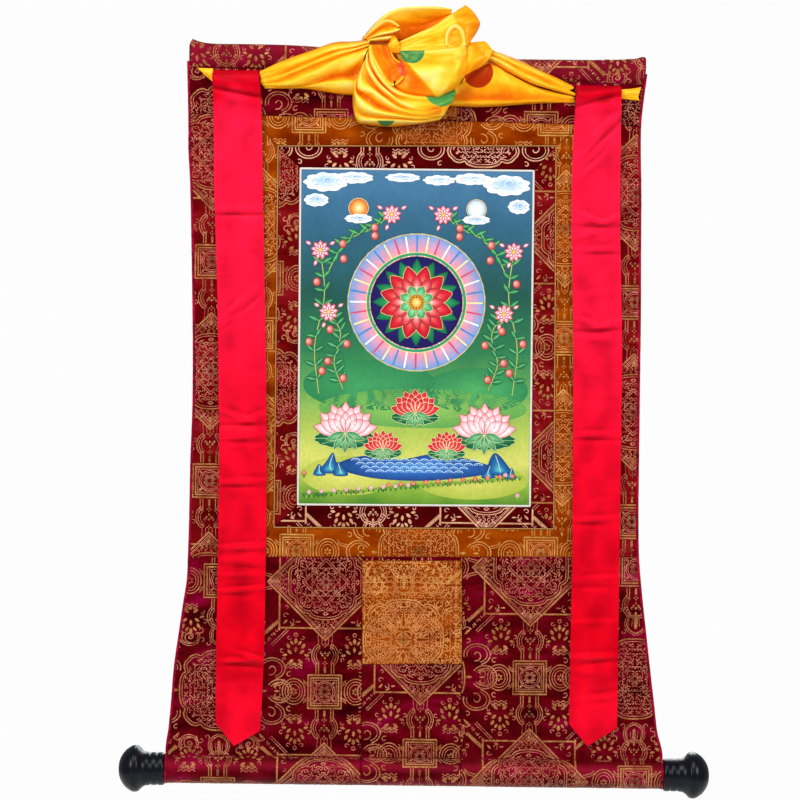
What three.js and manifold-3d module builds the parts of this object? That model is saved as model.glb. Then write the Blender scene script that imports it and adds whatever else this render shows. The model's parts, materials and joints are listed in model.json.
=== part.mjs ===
// A hanging scroll painting in a sewn brocade mount, with a roller in its bottom hem.
// Sizes are in millimetres. The origin is at the middle of the top edge, +X is to the right
// as seen from the front, the front faces -Y, and +Z is up. The cloth hangs about the plane Y = 0.
import * as THREE from "three";
import { mergeVertices } from "three/addons/utils/BufferGeometryUtils.js";
import Module from "manifold-3d";

const wasm = await Module();
wasm.setup();

// Driving dimensions
const GAP = 0.3; // between two pieces that are sewn or fitted together
const CLOTH = 2.0; // brocade with its turned seams, and the canvas
const FINE_CLOTH = 1.2; // the patches
const SATIN = 1.2; // the ribbons
const PIPING = 3.0; // white cord round the canvas
const GOLD_PIPING = 1.6; // cord between the two borders
const BINDING = 3.2; // width of the red edge binding
const BINDING_DEPTH = 3.6;
const VEIL_CLEAR = 0.8; // from the veil to the sleeve that it lies on
const VEIL_EASE = 3; // how far round the sleeve and the patch the veil keeps clear
const VEIL_SILK = 1.6; // least thickness of the gathered silk

const SLEEVE_TUCK = 8; // how far the upper panel runs up into its sleeve
const SLEEVE_HALF = 292; // half the length of the sleeve between its puckered ends
const ROLL_TUCK = 1.2; // how far the lower panel runs down into its hem
const FOLD_START = 22; // the folds grow over this height below the sleeve
const FOLD_END = 45; // and die away over this height above the roll

// The roller, its hem and its knobs
const ROLLER_RADIUS = 16;
const ROLL_RADIUS = 18.5; // outside of the hem that is turned round the roller
const ROLLER_Z = -951;
const KNOB_LENGTH = 61;
const SEAMS = { left: -66, right: 65.5 }; // upright seams between the three cuts of the lower panel
const RING_LIP = 0.8; // how far the binding's ring stands out from the roll

// Corners of the nested strips: top left, top right, bottom right, bottom left
const PIPING_CORNERS = [[-157, -153], [154.5, -152.5], [154.9, -599], [-155.1, -600.6]];
const INNER_CORNERS = [[-185.7, -125.1], [182.2, -120.6], [185.3, -627.4], [-184.9, -629.8]];
const GOLD_CORNERS = [[-224.6, -84.7], [220.1, -92], [225, -664], [-222, -669.5]];

// The two long edges of the cloth, from the top down
const EDGE = {
  columns: ["z", "left", "right"],
  rows: [
    [-16, -304, 299.4], [-103, -301.4, 291], [-130, -301.2, 291.2],
    [-170, -298.6, 292.3], [-260, -295.3, 293], [-372, -292.3, 294], [-460, -291.5, 294],
    [-545, -293.6, 294], [-620, -294.2, 294.2], [-668, -295, 295.6], [-700, -296, 298.4],
    [-730, -300.2, 301.6], [-775, -306.2, 307], [-812, -311.2, 311.6], [-858, -314.7, 317.6],
    [-895, -317.8, 322.4], [-926, -321.5, 329.6], [-975, -321.5, 329.6],
  ],
};

// The sleeve at the top edge, from left to right: its two edges and its half depth
const SLEEVE = {
  columns: ["x", "bottom", "top", "halfDepth"],
  rows: [
    [-304, -15, 7, 4], [-300.5, -21.5, 15, 5.6], [-292, -22.4, 12, 6.6], [-281, -22.6, 10, 7],
    [-234, -23, 9.3, 7.2], [-175, -23.8, 8.7, 7.3], [-132, -25, 6.6, 7.3], [0, -30, 0, 7.3],
    [130, -34.5, -6.5, 7.3], [200, -36, -6.2, 7.3], [264, -37.8, -4.9, 7.1], [287, -38.6, -3.4, 6.6],
    [297, -38, -1, 5.6], [301, -30, -5.5, 4],
  ],
};

// Soft folds of the hanging cloth: where each lies, its half length along its own line,
// its half width across, the turn of that line from level, and how far it stands forward
const FOLDS = {
  columns: ["x", "z", "along", "across", "turn", "rise"],
  rows: [
    [-150, -58, 85, 9, -9, 3.2], [-150, -70, 80, 7, -9, -2.0], [190, -66, 90, 9, -3, 2.2],
    [-298, -150, 60, 9, 88, -2.4], [-297, -330, 110, 9, 90, 1.8], [296, -260, 100, 9, 90, 2.0],
    [297, -500, 120, 9, 90, -1.8], [-300, -560, 90, 9, 90, -2.0], [-312, -775, 95, 22, 74, 5.5],
    [-262, -800, 110, 24, 80, -3.0], [-130, -830, 70, 34, 86, 2.6], [-20, -868, 60, 30, 92, -2.2],
    [120, -800, 95, 36, 95, 3.0], [215, -835, 90, 26, 98, -2.8], [314, -775, 100, 22, 106, 5.0],
    [270, -740, 60, 20, 100, -2.4],
  ],
};

// Ribbons, from the top down: the two edges, the stand-off from the cloth behind, and how
// much further one edge stands out than the other, so that the satin twists a little
const RIBBON_LEFT = {
  columns: ["z", "left", "right", "stand", "twist"],
  rows: [
    [-25.8, -273, -210.8, 0.6, 0], [-29, -273, -210.8, 3.6, 0], [-33, -273, -210.6, 7.4, 0],
    [-52, -272.4, -209, 7.8, 0.6], [-62, -272, -208.6, 6.6, -0.8], [-78, -271.7, -208, 5.2, 0],
    [-120, -270.8, -206.4, 3.4, 0.4], [-171, -269.9, -205, 2.6, 0], [-206, -268.4, -204, 3.8, 0.8],
    [-216, -268, -203.8, 2.4, -0.8], [-262, -266, -202, 2.8, 0], [-318, -263.6, -200.4, 4.6, 1.6],
    [-352, -262.6, -199.6, 2.6, -1.2], [-420, -260.6, -197.6, 3.2, 0], [-468, -259.6, -196.4, 4.8, -1],
    [-486, -259.2, -196, 2.6, 1.2], [-504, -258.8, -195.8, 4.2, -0.6], [-566, -258.2, -195, 2.6, 0.8],
    [-650, -258.4, -194.8, 3.6, -1], [-700, -258.6, -195, 2.6, 0.6], [-790, -259.6, -195.5, 3.4, 0],
    [-850, -259.4, -197.4, 2.8, 0.4],
  ],
};
const RIBBON_RIGHT = {
  columns: ["z", "left", "right", "stand", "twist"],
  rows: [
    [-40.6, 207.7, 267.4, 0.6, 0], [-44, 207.7, 267.4, 3.6, 0], [-48, 207.6, 267.4, 7.6, 0],
    [-66, 206.6, 267.2, 8.2, 0.6], [-76, 206, 267.2, 6.8, -1], [-100, 205, 267.4, 5, 0],
    [-128, 204, 267.6, 4.6, 1.4], [-168, 203.2, 267.8, 3, -1], [-206, 203.1, 267.9, 3, 0.4],
    [-220, 203.3, 268, 5.2, 0.8], [-234, 203.6, 268.2, 2.8, -0.8], [-286, 205.2, 269.8, 3.2, 0],
    [-352, 207, 271.8, 5, -1.2], [-366, 207.6, 272.2, 2.8, 1], [-384, 207.9, 272.6, 3.8, 0],
    [-470, 208.6, 272.8, 3.4, -0.8], [-560, 209.2, 272.6, 4.4, 0.6], [-681, 209.7, 272.4, 3, -0.8],
    [-740, 209.2, 272.5, 4.4, 0.8], [-792, 208.8, 272.6, 3, -0.6], [-846, 208.6, 272.4, 3.6, 0],
  ],
};
const RIBBON_END_LEFT = [[-258.9, -890], [-234.3, -919.5], [-199.6, -899]];
const RIBBON_END_RIGHT = [[208.4, -885], [232.9, -914.2], [272, -889.6]];

// The veil, gathered cloth. Each part is a run of sections: the place along it, the section's
// two ends, the distance of its back and of its crest in front of the plane of the cloth
const VEIL_LEFT_WING = {
  columns: ["x", "low", "high", "back", "front"],
  rows: [
    [-291, -27.5, -25.6, 1.8, 4], [-276, -38.6, -28.6, 1.8, 5], [-262, -46, -32.6, 1.8, 5.4],
    [-208, -48.6, -32, 1.8, 6], [-201, -48.8, -26.4, 1.8, 10], [-186, -49.4, -19, 1.8, 14],
    [-158, -49.6, -8.6, 1.8, 19], [-131, -52.6, 0, 1.8, 23], [-98, -56.4, 13.4, 3.4, 27],
    [-70, -57, 16.4, 3.4, 31], [-46, -50, 18, 3.4, 32],
  ],
};
const VEIL_RIGHT_WING = {
  columns: ["x", "low", "high", "back", "front"],
  rows: [
    [34, -66, 12, 3.4, 30], [62, -70, 15.4, 3.4, 31], [76, -71.4, 15.6, 1.8, 30],
    [96, -71.6, 6.4, 1.8, 27], [113, -71, -2.6, 1.8, 24], [142, -68.6, -11.6, 1.8, 19],
    [166, -66, -22, 1.8, 15], [190, -63.6, -34, 1.8, 11.4], [203, -61.6, -44.6, 1.8, 7.6],
    [214, -60.6, -47.4, 1.8, 6.2], [264, -61.6, -46.6, 1.8, 5.8], [280, -61.4, -44.4, 1.8, 5],
    [291, -58.4, -46.4, 1.8, 4],
  ],
};
const VEIL_BAG = {
  columns: ["z", "left", "right", "back", "front"],
  rows: [
    [-94.8, -66, 22, 10, 17], [-90, -79, 29, 4.4, 28], [-78, -83.6, 35.6, 3.4, 36],
    [-62, -87.2, 46, 3.4, 42], [-44, -87.4, 58, 3.4, 46], [-26, -80.4, 72, 3.4, 48],
    [-8, -74, 88, 3.4, 47], [6, -69, 84, 3.4, 42], [16, -60, 70, 3.4, 36],
  ],
};
const VEIL_CROWN = {
  columns: ["z", "left", "right", "back", "front"],
  rows: [
    [4, -66, 66, 6, 30], [16, -70.6, 69.6, 4, 40], [29, -66, 74.6, 0, 44],
    [40, -57, 78.4, -2, 43], [49, -47, 74.6, -1, 38], [56, -32, 47, 2, 31], [61.4, -8, 40, 8, 22],
  ],
};
const VEIL_HORN = {
  columns: ["z", "left", "right", "back", "front"],
  rows: [
    [22, 36, 76.4, 6, 30], [36, 40, 81.6, 4, 29], [47, 44, 78.8, 5, 26], [57, 50, 72, 7, 22],
    [63.6, 57, 64, 10, 17],
  ],
};
const VEIL_FLAP = {
  columns: ["z", "left", "right", "back", "front"],
  rows: [
    [-59, 20, 24, 44, 49.5], [-40, -8, 36, 44, 53], [-20, -26, 50, 44, 54], [-4, -31, 60, 42, 53],
    [6, -30, 62, 38, 49],
  ],
};

// Knob profile from the cloth outwards: distance from the roll's end, and radius
const KNOB_PROFILE = [
  [0, 20], [2.5, 21.4], [8, 21.4], [9.5, 20.2], [11, 21.4], [17, 21.4], [18.5, 20.2], [20, 21.6],
  [27, 22.6], [32, 26.6], [35.5, 30], [41, 30.6], [45, 29], [51, 25], [56.5, 18], [60, 9.6],
];

const COLOURS = {
  maroon: "#6a0a22", ochre: "#b5651d", canvas: "#5f8f7a", cord: "#efe6da", goldCord: "#c9a15a",
  binding: "#a50f2e", ribbon: "#e3102c", veil: "#ffb81f", wood: "#b08a5c", lacquer: "#15161a",
};

// The value of one column of a table at a place along its first column
function lookUp(table, column, place) {
  const index = table.columns.indexOf(column);
  const rows = table.rows;
  const falling = rows[0][0] > rows[rows.length - 1][0];
  const after = rows.findIndex((row) => (falling ? row[0] <= place : row[0] >= place));
  if (after === 0) return rows[0][index];
  if (after < 0) return rows[rows.length - 1][index];
  const share = (place - rows[after - 1][0]) / (rows[after][0] - rows[after - 1][0]);
  return THREE.MathUtils.lerp(rows[after - 1][index], rows[after][index], share);
}

// Where the middle of the hanging cloth lies at a point of its face
function hang(x, z) {
  let forward = 0;
  for (const [foldX, foldZ, along, across, turn, rise] of FOLDS.rows) {
    const angle = THREE.MathUtils.degToRad(turn);
    const run = ((x - foldX) * Math.cos(angle) + (z - foldZ) * Math.sin(angle)) / along;
    const side = ((z - foldZ) * Math.cos(angle) - (x - foldX) * Math.sin(angle)) / across;
    forward += rise * Math.exp(-run * run - side * side);
  }
  const sewnTop = THREE.MathUtils.smoothstep(lookUp(SLEEVE, "bottom", x) - z, 0, FOLD_START);
  const sewnRoll = THREE.MathUtils.smoothstep(z - ROLLER_Z - ROLL_RADIUS, 0, FOLD_END);
  return -forward * sewnTop * sewnRoll;
}

// A solid from a closed geometry, and back
function solid(geometry) {
  const bare = geometry.clone();
  bare.deleteAttribute("normal");
  bare.deleteAttribute("uv");
  const merged = mergeVertices(bare, 1e-4);
  const vertProperties = new Float32Array(merged.attributes.position.array);
  const triVerts = new Uint32Array(merged.index.array);
  return new wasm.Manifold(new wasm.Mesh({ numProp: 3, vertProperties, triVerts }));
}

function geometryOf(manifold) {
  const mesh = manifold.getMesh();
  const geometry = new THREE.BufferGeometry();
  geometry.setAttribute("position", new THREE.BufferAttribute(new Float32Array(mesh.vertProperties), 3));
  geometry.setIndex(new THREE.BufferAttribute(new Uint32Array(mesh.triVerts), 1));
  geometry.computeVertexNormals();
  return geometry;
}

function join(...geometries) {
  return geometryOf(geometries.map(solid).reduce((whole, next) => whole.add(next)));
}

// Moves each vertex of a geometry to where a function of its old place puts it
function moulded(geometry, place) {
  const position = geometry.attributes.position;
  for (let i = 0; i < position.count; i += 1) {
    position.setXYZ(i, ...place(position.getX(i), position.getY(i), position.getZ(i)));
  }
  return geometry;
}

// A sheet of cloth: outline(u, v) gives its face from u, v of 0 to 1, left to right and
// bottom to top, and middle(x, z, u, v) gives how deep its middle lies there
function sheet(columns, rows, thickness, outline, middle = hang) {
  return moulded(new THREE.BoxGeometry(1, 1, 1, columns, 1, rows), (a, b, c) => {
    const [x, z] = outline(a + 0.5, c + 0.5);
    return [x, middle(x, z, a + 0.5, c + 0.5) + b * thickness, z];
  });
}

// A point inside four corners, and the corners moved in by a distance from each side
function within(corners, u, v) {
  const [topLeft, topRight, bottomRight, bottomLeft] = corners;
  return [0, 1].map((axis) => {
    const low = THREE.MathUtils.lerp(bottomLeft[axis], bottomRight[axis], u);
    const high = THREE.MathUtils.lerp(topLeft[axis], topRight[axis], u);
    return THREE.MathUtils.lerp(low, high, v);
  });
}

function inset(corners, distance) {
  const sides = corners.map((start, i) => {
    const end = corners[(i + 1) % corners.length];
    const length = Math.hypot(end[0] - start[0], end[1] - start[1]);
    const across = [(end[1] - start[1]) / length, -(end[0] - start[0]) / length];
    return { across, reach: across[0] * start[0] + across[1] * start[1] + distance };
  });
  return corners.map((_, i) => {
    const before = sides[(i + corners.length - 1) % corners.length];
    const after = sides[i];
    const [a, b] = before.across;
    const [c, d] = after.across;
    const area = a * d - b * c;
    return [(before.reach * d - after.reach * b) / area, (a * after.reach - c * before.reach) / area];
  });
}

const root = new THREE.Group();

function add(name, geometry, colour, roughness = 0.7) {
  const material = new THREE.MeshStandardMaterial({ color: colour, roughness, metalness: 0 });
  const mesh = new THREE.Mesh(geometry, material);
  mesh.name = name;
  root.add(mesh);
}

// The canvas and the mitred strips round it
function strip(corners, columns, rows) {
  const sewn = inset(corners, GAP / 2);
  return sheet(columns, rows, CLOTH, (u, v) => within(sewn, u, v));
}

// Strips between an inner and an outer set of corners, one for each side
function addFrameStrips(name, inner, outer, colour, cells) {
  ["top", "right", "bottom", "left"].forEach((side, i) => {
    const next = (i + 1) % 4;
    const ring = [outer[i], outer[next], inner[next], inner[i]];
    const corners = ring.map((_, k) => ring[(k + 4 - i) % 4]);
    const upright = side === "left" || side === "right";
    add(name + "_" + side, strip(corners, upright ? 2 : cells, upright ? cells : 2), colour);
  });
}

// A round cord laid as a frame with mitred corners: a ring with four steps, one at each corner
function cordFrame(outer, thickness) {
  const ringRadius = 2;
  const ring = new THREE.TorusGeometry(ringRadius, 1, 8, 4);
  return moulded(ring, (a, b, c) => {
    const quarter = Math.round(Math.atan2(b, a) / (Math.PI / 2));
    const corner = (6 - quarter) % 4;
    const out = Math.hypot(a, b) - ringRadius;
    const [x, z] = inset(outer, (thickness * (1 - out)) / 2)[corner];
    return [x, (-c * thickness) / 2, z];
  });
}

const canvasCorners = inset(PIPING_CORNERS, PIPING);
const innerEdge = inset(INNER_CORNERS, GOLD_PIPING / 2);
const goldEdge = inset(INNER_CORNERS, -GOLD_PIPING / 2);
add("painting", strip(canvasCorners, 8, 12), COLOURS.canvas, 0.6);
add("piping", cordFrame(inset(PIPING_CORNERS, GAP / 2), PIPING - GAP), COLOURS.cord);
add("gold_piping", cordFrame(inset(goldEdge, GAP / 2), GOLD_PIPING - GAP), COLOURS.goldCord, 0.5);
addFrameStrips("inner_border", PIPING_CORNERS, innerEdge, COLOURS.maroon, 8);
addFrameStrips("gold_border", goldEdge, GOLD_CORNERS, COLOURS.ochre, 10);

// The seams above and below the gold border, carried on to the edges of the cloth
function seamAt([x0, z0], [x1, z1], x) {
  return THREE.MathUtils.lerp(z0, z1, (x - x0) / (x1 - x0));
}
const topSeam = (x) => seamAt(GOLD_CORNERS[0], GOLD_CORNERS[1], x);
const bottomSeam = (x) => seamAt(GOLD_CORNERS[3], GOLD_CORNERS[2], x);

// Heights at which the outer edge of a panel turns, from a low to a high one
function edgeStops(low, high) {
  const turns = EDGE.rows.map(([z]) => z).filter((z) => z > low + 1 && z < high - 1);
  return [low, ...turns.reverse(), high];
}

// A panel between an upright seam and a long edge of the cloth, and between two level seams
function edgePanel(side, seam, lowSeam, highSeam, columns) {
  const edgeX = side === "left" ? -295 : 295;
  const stops = edgeStops(lowSeam(edgeX) + GAP / 2, highSeam(edgeX) - GAP / 2);
  const height = stops[stops.length - 1] - stops[0];
  const outline = (u, v) => {
    const stop = stops[Math.round(v * (stops.length - 1))];
    const share = (stop - stops[0]) / height;
    const outer = lookUp(EDGE, side, stop);
    const inner = seam(share) + (side === "left" ? -GAP / 2 : GAP / 2);
    const x = THREE.MathUtils.lerp(side === "left" ? outer : inner, side === "left" ? inner : outer, u);
    return [x, THREE.MathUtils.lerp(lowSeam(x) + GAP / 2, highSeam(x) - GAP / 2, share)];
  };
  return sheet(columns, stops.length - 1, CLOTH, outline);
}

function sideStrip(innerTop, innerBottom, side) {
  const seam = (share) => THREE.MathUtils.lerp(innerBottom[0], innerTop[0], share);
  return edgePanel(side, seam, bottomSeam, topSeam, 4);
}
add("side_strip_left", sideStrip(GOLD_CORNERS[0], GOLD_CORNERS[3], "left"), COLOURS.maroon);
add("side_strip_right", sideStrip(GOLD_CORNERS[1], GOLD_CORNERS[2], "right"), COLOURS.maroon);

// The upper panel and the sleeve at its top edge, in one piece of cloth
const sleeveLeft = SLEEVE.rows[0][0];
const sleeveRight = SLEEVE.rows[SLEEVE.rows.length - 1][0];
const sleeveCells = new THREE.CylinderGeometry(1, 1, 1, 12, SLEEVE.rows.length - 1);
const sleeve = moulded(sleeveCells.rotateZ(-Math.PI / 2), (a, b, c) => {
  const place = (a + 0.5) * (SLEEVE.rows.length - 1);
  const row = Math.min(Math.floor(place), SLEEVE.rows.length - 2);
  const x = THREE.MathUtils.lerp(SLEEVE.rows[row][0], SLEEVE.rows[row + 1][0], place - row);
  const low = lookUp(SLEEVE, "bottom", x);
  const high = lookUp(SLEEVE, "top", x);
  return [x, b * lookUp(SLEEVE, "halfDepth", x), (low + high) / 2 + (c * (high - low)) / 2];
});
const heavenSheet = sheet(26, 5, CLOTH, (u, v) => {
  const height = (x) => {
    return THREE.MathUtils.lerp(topSeam(x) + GAP / 2, lookUp(SLEEVE, "bottom", x) + SLEEVE_TUCK, v);
  };
  const left = lookUp(EDGE, "left", height(-SLEEVE_HALF));
  const right = lookUp(EDGE, "right", height(SLEEVE_HALF));
  const x = THREE.MathUtils.lerp(left, right, u);
  return [x, height(x)];
});
add("heaven_panel", join(heavenSheet, sleeve), COLOURS.maroon);

// The lower panel, in three cuts, each turned round the roller
const rollLeft = lookUp(EDGE, "left", ROLLER_Z);
const rollRight = lookUp(EDGE, "right", ROLLER_Z);

// A round pipe about the roller's line, from one place along it to another
function pipe(outside, left, right) {
  const inside = ROLLER_RADIUS + GAP;
  const profile = [[inside, left], [outside, left], [outside, right], [inside, right], [inside, left]];
  const points = profile.map(([radius, along]) => new THREE.Vector2(radius, -along));
  return new THREE.LatheGeometry(points.reverse(), 20).rotateZ(Math.PI / 2).translate(0, 0, ROLLER_Z);
}

const rollTop = () => ROLLER_Z + ROLL_RADIUS - ROLL_TUCK;

function outerEarthPanel(side, columns) {
  const seam = () => SEAMS[side];
  const [left, right] =
    side === "left" ? [rollLeft, SEAMS.left - GAP / 2] : [SEAMS.right + GAP / 2, rollRight];
  return join(edgePanel(side, seam, rollTop, bottomSeam, columns), pipe(ROLL_RADIUS, left, right));
}

function middleEarthPanel() {
  const [left, right] = [SEAMS.left + GAP / 2, SEAMS.right - GAP / 2];
  const cloth = sheet(8, 12, CLOTH, (u, v) => {
    const x = THREE.MathUtils.lerp(left, right, u);
    return [x, THREE.MathUtils.lerp(rollTop(), bottomSeam(x) - GAP / 2, v)];
  });
  return join(cloth, pipe(ROLL_RADIUS, left, right));
}
add("earth_panel_left", outerEarthPanel("left", 12), COLOURS.maroon);
add("earth_panel_middle", middleEarthPanel(), COLOURS.maroon);
add("earth_panel_right", outerEarthPanel("right", 12), COLOURS.maroon);

// Patches sewn on the front of the two panels
const inFront = (distance) => (x, z) => hang(x, z) - distance;
const patchDepth = inFront(CLOTH / 2 + GAP + FINE_CLOTH / 2);
const doorCorners = [[-67.9, -672.4], [64.6, -671], [66, -807.6], [-66.3, -809.4]];
const heavenCorners = [[-76, -46], [50.4, -46], [50.8, -87.6], [-75.6, -86]];
const doorPatch = sheet(8, 8, FINE_CLOTH, (u, v) => within(doorCorners, u, v), patchDepth);
const heavenPatch = sheet(6, 3, FINE_CLOTH, (u, v) => within(heavenCorners, u, v), patchDepth);
add("door_patch", doorPatch, COLOURS.ochre);
add("heaven_patch", heavenPatch, COLOURS.ochre);

// Red binding down each long edge and round the end of the roll
function binding(side) {
  const out = side === "left" ? -1 : 1;
  const sleeveEnd = lookUp(SLEEVE, "bottom", out * SLEEVE_HALF);
  const stops = edgeStops(ROLLER_Z + ROLL_RADIUS - ROLL_TUCK, sleeveEnd - SLEEVE_TUCK);
  const tape = sheet(1, stops.length - 1, BINDING_DEPTH, (u, v) => {
    const z = stops[Math.round(v * (stops.length - 1))];
    const near = lookUp(EDGE, side, z) + out * GAP;
    return [side === "left" ? near - BINDING * (1 - u) : near + BINDING * u, z];
  });
  const near = (side === "left" ? rollLeft : rollRight) + out * GAP;
  const far = near + out * BINDING;
  return join(tape, pipe(ROLL_RADIUS + RING_LIP, Math.min(near, far), Math.max(near, far)));
}
add("edge_binding_left", binding("left"), COLOURS.binding);
add("edge_binding_right", binding("right"), COLOURS.binding);

// Ribbons: long bands with a pointed end, sewn in under the sleeve and hanging clear of the cloth
function ribbon(table, end) {
  const rows = table.rows.length + 1;
  const [leftCorner, tip, rightCorner] = end;
  const place = (u, v) => {
    const step = (1 - v) * rows;
    const row = Math.round(step);
    if (row < table.rows.length) {
      const [z, left, right, stand, twist] = table.rows[row];
      return { x: THREE.MathUtils.lerp(left, right, u), z, stand: stand + twist * (u - 0.5) * 2 };
    }
    const shoulder = (tip[0] - leftCorner[0]) / (rightCorner[0] - leftCorner[0]);
    if (row === table.rows.length) {
      const x = THREE.MathUtils.lerp(leftCorner[0], rightCorner[0], u);
      return { x, z: THREE.MathUtils.lerp(leftCorner[1], rightCorner[1], u) + 1, stand: 3 };
    }
    const x = THREE.MathUtils.lerp(leftCorner[0], rightCorner[0], u);
    const fromTip = u < shoulder ? (shoulder - u) / shoulder : (u - shoulder) / (1 - shoulder);
    const z = THREE.MathUtils.lerp(tip[1], u < shoulder ? leftCorner[1] : rightCorner[1], fromTip);
    return { x, z, stand: 3 };
  };
  const outline = (u, v) => [place(u, v).x, place(u, v).z];
  const middle = (x, z, u, v) => hang(x, z) - CLOTH / 2 - SATIN / 2 - place(u, v).stand;
  return sheet(6, rows, SATIN, outline, middle);
}
add("ribbon_left", ribbon(RIBBON_LEFT, RIBBON_END_LEFT), COLOURS.ribbon, 0.45);
add("ribbon_right", ribbon(RIBBON_RIGHT, RIBBON_END_RIGHT), COLOURS.ribbon, 0.45);

// How far in front of the cloth's plane the veil may reach back, over the sleeve and the patch
function clearOf(x, z) {
  const low = lookUp(SLEEVE, "bottom", x);
  const high = lookUp(SLEEVE, "top", x);
  const off = (2 * z - low - high) / (high - low + 4 * VEIL_EASE);
  const sleeveFront = lookUp(SLEEVE, "halfDepth", x) * Math.sqrt(Math.max(0, 1 - off * off));
  const overPatch = x > heavenCorners[0][0] - 3 * VEIL_EASE && x < heavenCorners[1][0] + 3 * VEIL_EASE;
  const clothFront = CLOTH / 2 - hang(x, z) + (overPatch ? GAP + FINE_CLOTH : 0);
  return Math.max(sleeveFront, clothFront) + VEIL_CLEAR;
}

// One part of the veil. Its pleats run along it, and a slant turns them to one side.
function gathered({ table, pleats, depth, slant, cells, steps, upright }) {
  const first = table.rows[0][0];
  const last = table.rows[table.rows.length - 1][0];
  const [, low, high] = table.columns;
  const length = (table.rows.length - 1) * steps;
  const box = new THREE.BoxGeometry(1, 1, 1, upright ? cells : length, 1, upright ? length : cells);
  return moulded(box, (a, b, c) => {
    const share = (upright ? c : a) + 0.5;
    const across = (upright ? a : c) + 0.5;
    const row = Math.min(Math.floor(share * (table.rows.length - 1)), table.rows.length - 2);
    const inRow = share * (table.rows.length - 1) - row;
    const along = THREE.MathUtils.lerp(table.rows[row][0], table.rows[row + 1][0], inRow);
    const reach = THREE.MathUtils.lerp(lookUp(table, low, along), lookUp(table, high, along), across);
    const [x, z] = upright ? [reach, along] : [along, reach];
    const back = Math.max(lookUp(table, "back", along), clearOf(x, z));
    const front = lookUp(table, "front", along);
    const round = Math.sqrt(Math.max(0, 1 - Math.pow(Math.abs(2 * across - 1), 2.6)));
    const phase = across * pleats + (slant * (along - first)) / (last - first);
    const pleat = depth * Math.sin(phase * Math.PI * 2) * round;
    const crest = back + (front - back) * (0.25 + 0.75 * round) + pleat;
    return [x, b > 0 ? -back : -Math.max(crest, back + VEIL_SILK), z];
  });
}
const veil = join(
  gathered({ table: VEIL_LEFT_WING, pleats: 2.5, depth: 1.6, slant: 0, cells: 10, steps: 1 }),
  gathered({ table: VEIL_RIGHT_WING, pleats: 2.5, depth: 1.6, slant: 0.3, cells: 10, steps: 1 }),
  gathered({ table: VEIL_BAG, pleats: 3, depth: 2.2, slant: 1.1, cells: 14, steps: 2, upright: true }),
  gathered({ table: VEIL_CROWN, pleats: 1.2, depth: 2, slant: 1, cells: 10, steps: 2, upright: true }),
  gathered({ table: VEIL_HORN, pleats: 1, depth: 1, slant: 0, cells: 6, steps: 1, upright: true }),
  gathered({ table: VEIL_FLAP, pleats: 0.5, depth: 0.6, slant: 0, cells: 6, steps: 1, upright: true }),
);
add("veil", veil, COLOURS.veil, 0.4);

// The roller and its turned knobs
const rollerStart = rollLeft - BINDING - GAP;
const rollerEnd = rollRight + BINDING + GAP;
const rollerLength = rollerEnd - rollerStart - 2 * GAP;
const roller = new THREE.CylinderGeometry(ROLLER_RADIUS, ROLLER_RADIUS, rollerLength, 20);
roller.rotateZ(Math.PI / 2).translate((rollerStart + rollerEnd) / 2, 0, ROLLER_Z);
add("roller", roller, COLOURS.wood);

function knob(out, start) {
  const points = KNOB_PROFILE.map(([along, radius]) => new THREE.Vector2(radius, along));
  const profile = [new THREE.Vector2(0, 0), ...points, new THREE.Vector2(0, KNOB_LENGTH)];
  return new THREE.LatheGeometry(profile, 20).rotateZ((-out * Math.PI) / 2).translate(start, 0, ROLLER_Z);
}
add("knob_left", knob(-1, rollerStart - GAP), COLOURS.lacquer, 0.25);
add("knob_right", knob(1, rollerEnd + GAP), COLOURS.lacquer, 0.25);

export default root;
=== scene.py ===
import json
import math
from bisect import bisect_right
from functools import lru_cache

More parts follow.
